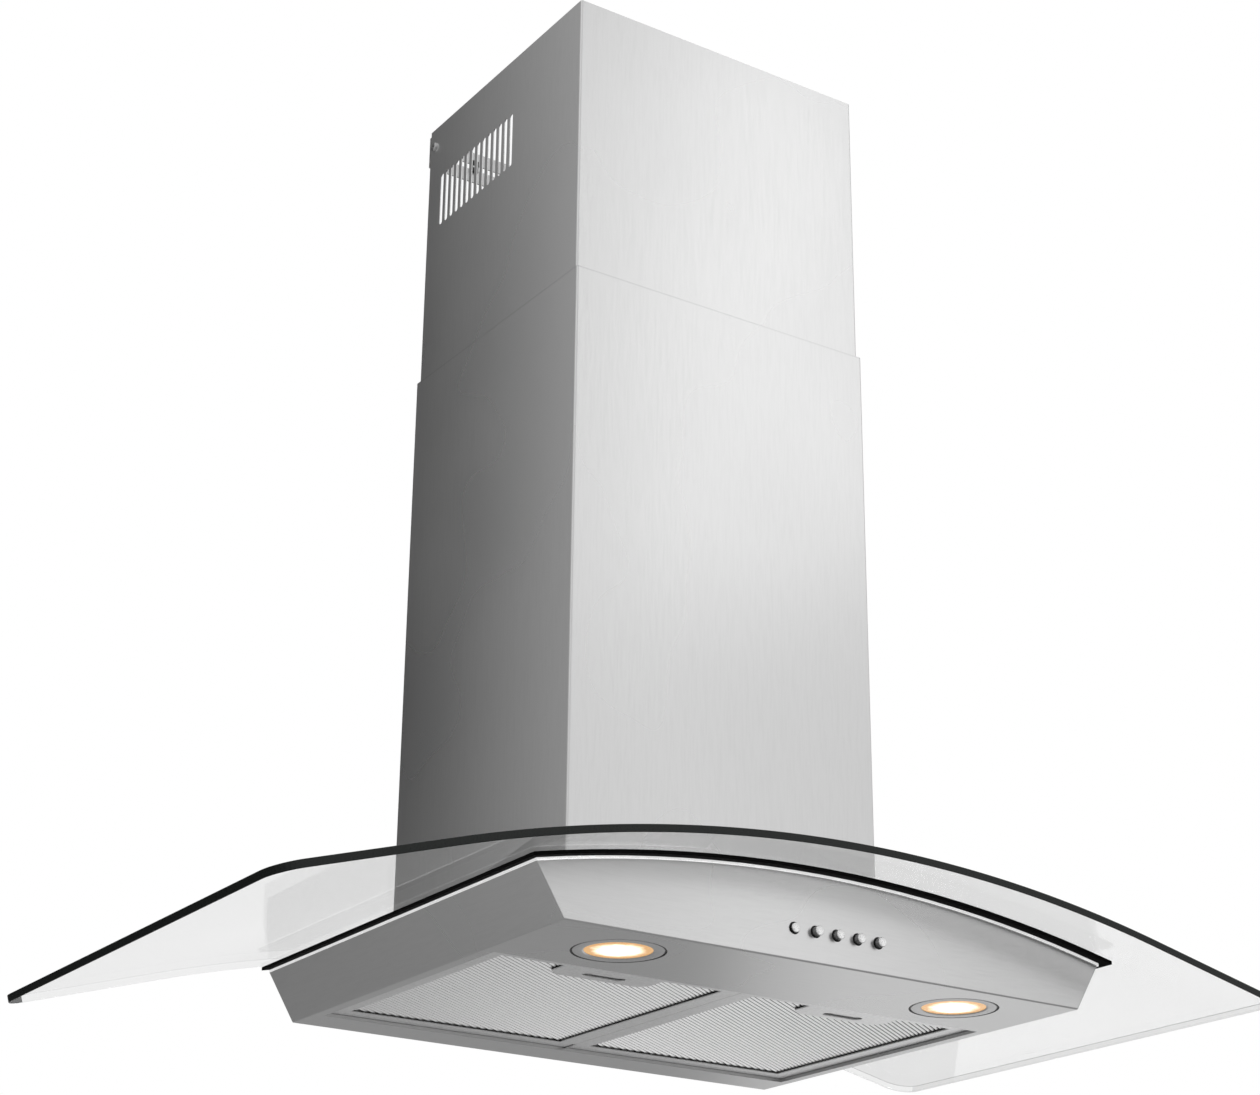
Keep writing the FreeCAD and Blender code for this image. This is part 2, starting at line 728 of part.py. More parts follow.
def blower_box():
    """Sides and top of the steel box around the blower."""
    outside = box(("-box_half", "-box_front", "box_bottom"),
                  ("2 * box_half", "box_front - box_sheet", "box_top - box_bottom"))
    inside = box(("box_sheet - box_half", "-(box_front + 1)", "box_bottom - 1"),
                 ("2 * (box_half - box_sheet)", "box_front + 2", "box_top - box_sheet - box_bottom + 1"))
    ears = box(("-ear_half", "-2 * box_sheet", "ear_bottom"), ("2 * ear_half", "box_sheet", "ear_tall"))
    outlet = round_bar("collar_radius - collar_wall", "20", ("0", "-collar_back", "box_top - 10"))
    gland = round_bar("gland_radius", "20", ("-gland_x", "-gland_back", "box_top - 10"))
    return node("blower_box", cut(outside, inside, arch_cylinder(SEAL_INSIDE), ears, outlet, gland))


def box_fittings():
    """Front cover, its screws, the chimney screws, the cord gland and the motor capacitor."""
    node("blower_cover", box(("box_sheet - box_half", "-box_front", "cover_bottom"),
                             ("2 * (box_half - box_sheet)", "box_sheet",
                              "box_top - box_sheet - cover_bottom")))
    node("cover_screws", group(*[
        round_bar("cover_head", "cover_head_thick", (f"{side} * cover_screw_x", "-box_front", height), LYING)
        for side in (-1, 1)
        for height in ("cover_bottom + cover_screw_edge", "box_top - cover_screw_edge")]))
    screws = []
    for side in (-1, 1):
        where, level = f"{side} * ear_screw_x", "ear_bottom + ear_tall / 2"
        screws.append(fuse(round_bar("side_screw", "2 * box_sheet", (where, "0", level), LYING),
                           round_bar("ear_head", "ear_head_thick", (where, "-2 * box_sheet", level), LYING)))
    node("chimney_screws", group(*screws))
    thread = round_bar("gland_radius", "gland_tall", ("-gland_x", "-gland_back", "box_top - gland_radius"))
    collar = round_bar("gland_collar", "gland_tall", ("-gland_x", "-gland_back", "box_top"))
    bore = round_bar("gland_bore", "40", ("-gland_x", "-gland_back", "box_top - 20"))
    node("cord_gland", cut(fuse(thread, collar), bore))
    node("capacitor", round_bar("capacitor_radius", "capacitor_tall",
                                ("-capacitor_x", "-capacitor_back", "capacitor_bottom")))


# ---------------------------------------------------------------- blower

def along_drum(radius, start, length):
    """A bar on the blower's axis."""
    return round_bar(radius, length, (start, "-drum_back", "drum_height"), SIDEWAYS)


def scroll():
    """Plastic blower housing in two halves, open to both sides and up to the outlet."""
    shell = fuse(along_drum("drum_radius", "-drum_half", "2 * drum_half"),
                 box(("-drum_half", "-outlet_front", "drum_height"),
                     ("2 * drum_half", "outlet_front - outlet_back", "box_top - box_sheet - drum_height")))
    wall = "scroll_wall"
    hollow = fuse(along_drum(f"drum_radius - {wall}", f"{wall} - drum_half", f"2 * (drum_half - {wall})"),
                  box((f"{wall} - drum_half", f"{wall} - outlet_front", "drum_height"),
                      (f"2 * (drum_half - {wall})", f"outlet_front - outlet_back - 2 * {wall}",
                       "box_top - drum_height")))
    whole = cut(shell, hollow, along_drum("inlet_radius", "-(drum_half + 10)", "2 * drum_half + 20"))
    for label, start in (("scroll_left", "-(drum_half + 1)"), ("scroll_right", "0")):
        half = box((start, "-300", "50"), ("drum_half + 1", "300", "box_top"))
        node(label, common(whole, half))


def impeller():
    """Double-inlet wheel: a middle disc, a hub, two end rings and leaning blades."""
    wheel = new_body("Wheel")
    pad(wheel, circles(new_sketch(wheel, "YZ_Plane"), "wheel_radius"), "2 * blade_thick", True)
    pad(wheel, circles(new_sketch(wheel, "YZ_Plane"), "hub_radius"), "hub_long", True)
    lean = "tan(blade_angle)"
    inner, outer = "(wheel_inner + 0.5)", "(wheel_radius - 0.5)"
    shift = f"{lean} * ({outer} - {inner})"
    blade = pad(wheel, outline(new_sketch(wheel, "YZ_Plane"), [
        (inner, "0"), (outer, shift), (outer, f"{shift} + blade_thick"), (inner, "blade_thick")]),
        "2 * wheel_half", True)
    blades = wheel.newObject("PartDesign::PolarPattern", "Blades")
    blades.Originals = [blade]
    blades.Axis = (next(item for item in wheel.Origin.OriginFeatures if item.Role == "X_Axis"), [""])
    blades.Occurrences = int(cell("blade_count"))
    wheel.Tip = blades
    doc.recompute()
    for offset in ("wheel_half - end_ring", "-wheel_half"):
        pad(wheel, circles(new_sketch(wheel, "YZ_Plane", offset), "wheel_radius", "wheel_inner"), "end_ring")
    pocket(wheel, circles(new_sketch(wheel, "YZ_Plane"), "shaft_radius"), "60", True)
    place(wheel, ("0", "-drum_back", "drum_height"))
    node("impeller", wheel)


def motor():
    """Motor in the right-hand inlet, its three-armed bracket, and the shaft."""
    can = fuse(along_drum("motor_radius", "motor_start", "motor_end - motor_start"),
               along_drum("motor_cap", "motor_start - 5", "motor_end - motor_start + 8"))
    node("motor", cut(can, along_drum("shaft_radius + 0.06", "0", "motor_end + 10")))
    node("motor_shaft", along_drum("shaft_radius", "-18", "motor_end + 24"))
    arms = []
    for turn in (90, 210, 330):
        arm = box(("0", "0", "0"), ("2", "arm_wide", "arm_reach - motor_radius - 2"))
        spin = Rotation(Vector(1, 0, 0), turn)
        offset = spin.multVec(Vector(0, -cell("arm_wide") / 2, cell("motor_radius") + 2))
        place(arm, ("drum_half", f"{offset.y} - drum_back", f"{offset.z} + drum_height"), spin)
        arms.append(arm)
    ring = along_drum("motor_radius + 8", "drum_half", "2")
    bore = along_drum("motor_radius", "drum_half - 1", "4")
    node("motor_bracket", cut(fuse(ring, *arms), bore))


# ---------------------------------------------------------------- outlet

def upright(radius, start, length):
    """A bar on the outlet's axis."""
    return round_bar(radius, length, ("0", "-collar_back", start))


def hinge_bar(radius, start, length):
    """A bar on the line of the damper's hinge pin."""
    return round_bar(radius, length, (start, "-collar_back", "flap_height"), SIDEWAYS)


def outlet_collar():
    """Duct collar on top of the blower box, and the pin that carries its two flaps."""
    tube = fuse(upright("collar_radius", "box_top", "collar_tall"),
                upright("collar_flange", "box_top", "collar_flange_thick"))
    bore = upright("collar_radius - collar_wall", "box_top - 1", "collar_tall + 2")
    node("outlet_collar", cut(tube, bore, hinge_bar("pin_radius", "-(collar_radius + 5)",
                                                    "2 * collar_radius + 10")))
    node("damper_pin", hinge_bar("pin_radius", "-collar_radius", "2 * collar_radius"))


def damper_flap(label, side, spread):
    """Half a disc on its own knuckles, so that it swings up about the pin."""
    disc = upright("flap_radius", "flap_height - flap_thick / 2", "flap_thick")
    near = "-collar_back + flap_gap" if side > 0 else "-(collar_back + flap_radius + flap_gap)"
    half = common(disc, box(("-flap_radius", near, "flap_height - 5"),
                            ("2 * flap_radius", "flap_radius", "10")))
    pieces = [half]
    for place in (f"-{spread}", spread):
        start = f"{place} - knuckle_long / 2"
        pieces.append(hinge_bar("knuckle_radius", start, "knuckle_long"))
        reach = "-collar_back" if side > 0 else "-(collar_back + flap_gap + 1)"
        pieces.append(box((start, reach, "flap_height - flap_thick / 2"),
                          ("knuckle_long", "flap_gap + 1", "flap_thick")))
    node(label, cut(fuse(*pieces), hinge_bar("pin_radius + pin_play", "-flap_radius", "2 * flap_radius")))


# ---------------------------------------------------------------- filters

def filter_span(side):
    """Lowest X of a filter and its middle, for the left (-1) or right (1) one."""
    low = "filter_inner" if side > 0 else "-(opening_half - filter_clear)"
    return low, f"{side} * (opening_half - filter_clear + filter_inner) / 2"


def beside_hanger(side, start, end, play):
    """A block at a filter's inner back corner, between two distances from the middle."""
    low = start if side > 0 else f"-({end})"
    reach = f"(pivot_back + hanger_front + {play})"
    return box((low, f"-{reach}", "filter_bottom"),
               (f"{end} - ({start})", f"{reach} - opening_back - filter_clear", "filter_thick"))


def filter_frame(name, side):
    """Channelled frame around the mesh, with a chamfered tab that holds the finger pull."""
    low, middle = filter_span(side)
    front = "-(opening_front - filter_clear)"
    wide = "(opening_half - filter_clear - filter_inner)"
    deep = "(opening_front - opening_back - 2 * filter_clear)"

    def inset(amount, bottom, top):
        return box((f"{low} + {amount}", f"{front} + {amount}", bottom),
                   (f"{wide} - 2 * {amount}", f"{deep} - 2 * {amount}", top))

    ring = cut(inset("0", "filter_bottom", "filter_thick"),
               inset("filter_rail", "filter_bottom - 1", "filter_thick + 2"),
               inset("filter_skin", "filter_bottom + filter_skin", "filter_thick - 2 * filter_skin"))
    corner = beside_hanger(side, "hanger_room", "hanger_room + filter_skin", "1 + filter_skin")
    notch = beside_hanger(side, "0", "hanger_room", "1")
    tab = new_body(f"Tab{name}")
    edge, shoulder = "-(opening_front - filter_clear - filter_skin)", "-(tab_back + tab_chamfer)"
    left, right = f"{middle} - tab_half", f"{middle} + tab_half"
    pad(tab, outline(new_sketch(tab, "XY_Plane", "filter_bottom"), [
        (left, edge), (right, edge), (right, shoulder), (f"{right} - tab_chamfer", "-tab_back"),
        (f"{left} + tab_chamfer", "-tab_back"), (left, shoulder)]), "filter_skin")
    straight = "(pull_half - pull_wide / 2)"
    pull = fuse(box((f"{middle} - {straight}", "-(pull_back + pull_wide / 2)", "0"),
                    (f"2 * {straight}", "pull_wide", "filter_bottom + 2 * filter_skin")),
                *[round_bar("pull_wide / 2", "filter_bottom + 2 * filter_skin",
                            (f"{middle} {sign} {straight}", "-pull_back", "0")) for sign in "+-"])
    nose = box((f"{middle} - nose_half - latch_play", "-(opening_front + 1)", "latch_bottom - latch_play"),
               ("2 * (nose_half + latch_play)", "4", "latch_thick + 2 * latch_play"))
    node(f"filter_{name}_frame", cut(fuse(ring, tab, corner), pull, nose, notch))
    return low, middle, front, wide, deep


def grease_filter(name, side):
    """A filter: frame, mesh pack, sprung latch and the two pins it swings on."""
    low, middle, front, wide, deep = filter_frame(name, side)
    pack = box((f"{low} + mesh_gap", f"{front} + mesh_gap", "filter_bottom + mesh_gap"),
               (f"{wide} - 2 * mesh_gap", f"{deep} - 2 * mesh_gap", "mesh_thick"))
    room = box((f"{middle} - latch_half - 3", "-(opening_front + 1)", "0"),
               ("2 * latch_half + 6", "opening_front + 1.5 - tab_back", "20"))
    corner = beside_hanger(side, "0", "hanger_room + filter_skin", "1 + filter_skin")
    node(f"filter_{name}_mesh", cut(pack, room, corner))
    slider = box((f"{middle} - latch_half", "-latch_front", "latch_bottom"),
                 ("2 * latch_half", "latch_front - latch_back", "latch_thick"))
    nose = box((f"{middle} - nose_half", "-nose_front", "latch_bottom"),
               ("2 * nose_half", "nose_front - latch_front", "latch_thick"))
    lip = box((f"{middle} - latch_lip_half", "-(pull_back + latch_travel)", "filter_bottom + 0.2"),
              ("2 * latch_lip_half", "latch_lip", "latch_bottom - filter_bottom - 0.2"))
    node(f"filter_{name}_latch", fuse(slider, nose, lip))
    outer = "opening_half - filter_clear" if side > 0 else "-(opening_half + sheet)"
    inner = "pin_gap" if side > 0 else "-hanger_room"
    pins = [round_bar("filter_pin", length, (start, "-pivot_back", "pivot_height"), SIDEWAYS)
            for start, length in ((outer, "filter_clear + sheet"), (inner, "hanger_room - pin_gap"))]
    node(f"filter_{name}_pins", group(*pins))


# ---------------------------------------------------------------- lamps

def lamp(name, side):
    """A lamp: flush bezel, lens, can above the bottom plate, capsule bulb and its socket."""
    def disc(radius, start, length):
        return round_bar(radius, length, (f"{side} * lamp_x", "-lamp_front", start))

    node(f"lamp_{name}_bezel", cut(disc("bezel_radius", "0", "sheet"), disc("lens_radius", "-1", "5")))
    node(f"lamp_{name}_lens", disc("lens_radius", "lens_bottom", "lens_thick"))
    can = fuse(disc("can_flange", "sheet", "can_wall"), disc("can_radius", "sheet", "can_top - sheet"))
    node(f"lamp_{name}_can", cut(can, disc("lens_radius", "0", "sheet + can_wall + 1"),
                                 disc("can_radius - can_wall", "sheet + can_wall",
                                      "can_top - sheet - 2 * can_wall")))
    node(f"lamp_{name}_bulb", disc("bulb_radius", "bulb_bottom", "bulb_tall"))
    node(f"lamp_{name}_socket", disc("socket_radius", "bulb_bottom + bulb_tall",
                                     "can_top - can_wall - bulb_bottom - bulb_tall"))


# ---------------------------------------------------------------- push buttons

def push_button(number):
    """A turned cap with a retaining flange behind the guide. The first one is held pressed."""
    pressed = "button_stroke" if number == 0 else "0"

    def bar(radius, start, length):
        return round_bar(radius, length, (button_x(number), f"{start} + {pressed}", "button_height"), LYING)

    back = "button_length - body_depth - button_out"
    node(f"button_{number + 1}", fuse(bar("button_radius", back, "button_length"),
                                      bar("button_flange", back, "button_flange_thick")))


def button_fittings():
    """Black guide that fills the holes around the caps, and the switch block behind it."""
    plate = box(("-guide_half", "sheet - body_depth", "guide_bottom"),
                ("2 * guide_half", "guide_thick", "guide_tall"))
    collars = [round_bar("button_hole - guide_collar_play", "guide_collar",
                         (button_x(number), "sheet - body_depth", "button_height"), LYING)
               for number in range(5)]
    bores = [round_bar("button_radius + button_fit", "30",
                       (button_x(number), "25 - body_depth", "button_height"), LYING)
             for number in range(5)]
    node("button_guide", cut(fuse(plate, *collars), *bores))
    block = box(("-(guide_half - 2)", "-switch_front", "guide_bottom"),
                ("2 * (guide_half - 2)", "switch_deep", "guide_tall + 3"))
    plungers = [round_bar("plunger", "plunger_out",
                          (button_x(number), "-switch_front", "button_height"), LYING)
                for number in range(5)]
    node("switch_block", fuse(block, *plungers))


def terminal_box():
    """Plastic box for the connections, open at the top under its own lid."""
    wall = "terminal_wall"
    case = box(("terminal_x", "-terminal_front", "sheet"),
               ("terminal_wide", "terminal_deep", "terminal_tall"))
    room = box((f"terminal_x + {wall}", f"{wall} - terminal_front", f"sheet + {wall}"),
               (f"terminal_wide - 2 * {wall}", f"terminal_deep - 2 * {wall}", "terminal_tall"))
    node("terminal_box", cut(case, room))
    node("terminal_lid", box(("terminal_x", "-terminal_front", "sheet + terminal_tall"),
                             ("terminal_wide", "terminal_deep", wall)))


# ---------------------------------------------------------------- build

hood_body()
back_panel()
lip_plate()
canopy_seal()
glass_canopy()
canopy_clamps()
lower_chimney()
upper_chimney()
upper_bracket()
side_screws()
glide_strips()
wall_plate()
blower_box()
box_fittings()
scroll()
impeller()
motor()
outlet_collar()
damper_flap("damper_front", -1, "front_knuckles")
damper_flap("damper_back", 1, "back_knuckles")
for filter_name, filter_side in (("left", -1), ("right", 1)):
    grease_filter(filter_name, filter_side)
    lamp(filter_name, filter_side)
for button_number in range(5):
    push_button(button_number)
button_fittings()
terminal_box()
doc.recompute()

broken = [thing.Name for thing in doc.Objects if {"Invalid", "Error"} & set(thing.State)]
broken += [thing.Label for thing in NODES if thing.Shape.isNull() or not thing.Shape.isValid()]
if broken:
    raise SystemExit(f"these objects failed: {broken}")

os.makedirs("parts", exist_ok=True)
for thing in NODES:
    solids = len(thing.Shape.Solids)
    thing.Shape.exportStep(f"parts/{thing.Label}.step")
    print(f"{thing.Label}: {solids} solid(s), {thing.Shape.Volume / 1000:.1f} cm3")
print(f"{len(NODES)} nodes")
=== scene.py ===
import math

import bmesh
import bpy
from mathutils import Matrix, Vector


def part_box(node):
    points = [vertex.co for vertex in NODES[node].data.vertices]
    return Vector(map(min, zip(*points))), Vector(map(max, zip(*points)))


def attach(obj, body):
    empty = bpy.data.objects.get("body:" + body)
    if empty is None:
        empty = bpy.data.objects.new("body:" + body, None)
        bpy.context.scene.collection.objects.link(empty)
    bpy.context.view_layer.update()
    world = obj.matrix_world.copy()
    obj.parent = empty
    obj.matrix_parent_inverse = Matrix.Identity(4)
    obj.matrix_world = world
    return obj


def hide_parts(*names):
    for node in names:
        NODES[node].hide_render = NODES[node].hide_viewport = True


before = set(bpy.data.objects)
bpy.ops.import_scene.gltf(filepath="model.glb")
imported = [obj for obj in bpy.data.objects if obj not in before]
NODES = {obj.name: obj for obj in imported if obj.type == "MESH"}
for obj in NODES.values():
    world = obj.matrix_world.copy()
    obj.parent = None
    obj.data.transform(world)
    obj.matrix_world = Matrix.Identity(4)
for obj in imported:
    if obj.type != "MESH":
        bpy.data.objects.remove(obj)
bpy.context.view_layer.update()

SCENE = bpy.context.scene
MM = 0.001

# camera: place in metres, angles in radians, lens in millimetres
CAMERA_PLACE = Vector((-1.1773, -1.9060, -0.6520))
CAMERA_YAW = 0.5772
CAMERA_PITCH = 0.3927
CAMERA_ROLL = 0.0129
CAMERA_LENS = 73.108
CAMERA_SHIFT = (0.0166, 0.0078)

# floor, in metres
FLOOR_HEIGHT = -3.2
FLOOR_HALF = 16

# canopy, in metres: it is bent about an axis along Y below the hood
ARCH_AXIS_HEIGHT = -1.402
GLASS_RADIUS = 1.274
GLASS_THICK = 0.006
ARC_HALF = 0.3185
CHORD_HALF = 0.451
CANOPY_ROLL = math.radians(-2.14)
ARC_REACH = math.asin(ARC_HALF / GLASS_RADIUS)      # angle from the top of the arch to its end
PANE_CENTRE = GLASS_RADIUS * CANOPY_ROLL
GLASS_CORNER = 0.022
GLASS_ARRIS = 0.0006
NOTCH_HALF = 0.129
NOTCH_FRONT = -0.268
CLAMP_X = 0.141
CLAMP_Y = (-0.220, -0.060)
GLASS_HOLE = 0.005
BEND_STRIPS = 96
CORNER_STEPS = 10
HOLE_STEPS = 24
PANE_FLAT = 0.95        # least height of a unit normal on the pane's large faces
EDGE_LEAN = 0.2         # least sideways part of a unit normal on an edge
ARRIS_LEAN = 0.3        # least height of a unit normal on an arris
GLASS_CALM = 0.80       # share of the pane's shader that is plain see-through, without a mirror image

# brushed steel: (along, across) are grains of noise per metre along and across the brushing
STREAK_GRAINS = (30.0, 420.0)
SCRATCH_GRAINS = (60.0, 1600.0)
SCRATCH_SHARE = 0.8
STEEL_GREY = 0.60
STEEL_CONTRAST = 0.012
STEEL_ROUGH = 0.28
STEEL_ROUGH_SPREAD = 0.02
SEAM_SHADE_TALL = 2 * MM       # strip below the lower chimney's top edge that is darkened as painted shade, standing in for the seam's contact shadow
# painted shade: share of the steel's colour that is kept at the seam
SEAM_SHADE_FACTOR = 0.85

LIP_GLOW = 0.75         # strength of the light that the bright lip's rim gives off

# grease filters: strands one way below a near-black sheet, painted shade for the dark inside of the
# layered mesh, and two ways above it
STRAND_THICK = 0.35 * MM
STRAND_TILT = math.radians(-24)
STRANDS = (     # lower face 1 or upper face -1, angle from the X axis, pitch, width of a strand
    (1, 34, 4.2 * MM, 2.15 * MM),
    (-1, 34, 4.2 * MM, 1.1 * MM),
    (-1, -34, 4.2 * MM, 1.1 * MM),
)
# painted shade: height of the near-black sheet inside the filter
SHADE_SHEET_HEIGHT = 1.21 * MM
STRAND_EDGE = 1.5 * MM
LATCH_ROOM_HALF = 31 * MM
LATCH_ROOM_BACK = -264 * MM

# lamps and push buttons
LENS_RISE = 0.7 * MM
LENS_FACETS = 0.30      # how far the facets move the step from white to amber
LENS_MIDDLE_GLOW = 2.6
LENS_RIM_GLOW = 0.62
# lamp can: below these heights the flange is painted black, as painted shade in the gap around the bezel
CAN_SHADE_BELOW = -0.1981
CAN_UNSHADED_ABOVE = -0.1979
BEZEL_LIP = 0.35 * MM
BEZEL_GAP = 0.75 * MM
BUTTON_RADIUS = 3.7 * MM
BUTTON_FLANGE_THICK = 1.2 * MM
BUTTON_CHAMFER = 0.45 * MM
BUTTON_DISH = 0.15 * MM

# meshes, in metres
SAME_CORNER = 1e-6      # corners closer than this are one corner
TINY = 1e-7             # a radius or gap that counts as none

UP = Vector((0, 0, 1))

# studio: glow of the surround as (aim, cosine where it starts, cosine where it is full, radiance)
SURROUND = 0.03
GLOWS = (
    ((0.35, -0.75, 0.55), -0.6, 0.95, 0.86),
    ((0.35, 0.92, 0.10), 0.88, 0.97, 0.50),
    ((0.47, 0.85, 0.24), 0.955, 0.977, 0.35),
)
# soft panels as (name, place, target, width, height, radiance)
PANELS = (
    ("LeftPanel", (-0.62, -0.08, 1.00), (0.20, -0.08, 1.00), 1.2, 2.2, 0.58),
    ("LeftLowPanel", (-0.78, 0.10, -0.60), (0.20, 0.10, -0.40), 1.0, 0.6, 0.10),
    ("FrontUpperPanel", (1.30, -1.95, 1.65), (1.30, -0.28, 1.65), 0.45, 1.3, 1.25),
    ("FrontLowerPanel", (1.12, -1.95, 0.45), (1.12, -0.28, 0.45), 0.45, 1.2, 0.35),
    ("MeshPanel", (1.60, 0.90, -1.15), (-0.10, -0.20, -0.19), 1.0, 0.6, 0.68),
    ("BackLowPanel", (2.50, 2.00, -0.90), (0.00, -0.20, -0.20), 1.4, 1.0, 0.36),
)


# ---------------------------------------------------------------- meshes

def link(name, mesh, body, materials, node):
    """Put a mesh in the scene as a piece that rides on a body and stands for a CAD node."""
    piece = bpy.data.objects.new(name, mesh)
    SCENE.collection.objects.link(piece)
    for material in materials:
        mesh.materials.append(material)
    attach(piece, body)
    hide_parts(node)


def smooth(mesh, angle):
    """Smooth shading that keeps edges sharper than an angle in degrees."""
    mesh.polygons.foreach_set("use_smooth", [True] * len(mesh.polygons))
    mesh.set_sharp_from_angle(angle=math.radians(angle))
    mesh.update()


def mesh_from(name, maker):
    """A mesh filled in by a function that is handed an empty bmesh."""
    work = bmesh.new()
    maker(work)
    bmesh.ops.recalc_face_normals(work, faces=work.faces)
    mesh = bpy.data.meshes.new(name)
    work.to_mesh(mesh)
    work.free()
    return mesh


def lathe(work, profile, place, steps):
    """Turn a profile of (radius, height) pairs about the Z axis of a placement."""
    turns = [2 * math.pi * step / steps for step in range(steps)]
    rings = []
    for radius, height in profile:
        if radius < TINY:
            points = [Vector((0, 0, height))]
        else:
            points = [Vector((radius * math.cos(turn), radius * math.sin(turn), height))
                      for turn in turns]
        rings.append([work.verts.new(place @ point) for point in points])
    for lower, upper in zip(rings, rings[1:]):
        for step in range(steps):
            corners = []
            for ring, index in ((lower, step), (lower, step + 1), (upper, step + 1), (upper, step)):
                vertex = ring[index % len(ring)]
                if vertex not in corners:
                    corners.append(vertex)
            if len(corners) > 2:
                work.faces.new(corners)
    bmesh.ops.remove_doubles(work, verts=work.verts, dist=TINY)


def facing(direction, x, y, z):
    """A placement whose Z axis points in a direction."""
    turn = Vector(direction).to_track_quat("Z", "Y").to_matrix().to_4x4()
    return Matrix.Translation((x, y, z)) @ turn


def flat_plate(name, loops, thick, rounding):
    """A flat plate with rounded edges, drawn by closed loops of (x, y) points; later loops are holes."""
    curve = bpy.data.curves.new(name, "CURVE")
    curve.dimensions = "2D"
    curve.fill_mode = "BOTH"
    curve.extrude = thick / 2 - rounding
    curve.bevel_depth = rounding
    curve.bevel_resolution = 2
    curve.offset = -rounding
    for loop in loops:
        spline = curve.splines.new("POLY")
        spline.points.add(len(loop) - 1)
        for point, (x, y) in zip(spline.points, loop):
            point.co = (x, y, 0, 1)
        spline.use_cyclic_u = True
    holder = bpy.data.objects.new(name, curve)
    SCENE.collection.objects.link(holder)
    graph = bpy.context.evaluated_depsgraph_get()
    mesh = bpy.data.meshes.new_from_object(holder.evaluated_get(graph))
    bpy.data.objects.remove(holder)
    bpy.data.curves.remove(curve)
    return mesh


def arc(centre, radius, start, end, steps):
    """Points along an arc, angles in degrees."""
    turns = [math.radians(start + (end - start) * step / steps) for step in range(steps + 1)]
    return [(centre[0] + radius * math.cos(turn), centre[1] + radius * math.sin(turn)) for turn in turns]


# ---------------------------------------------------------------- materials

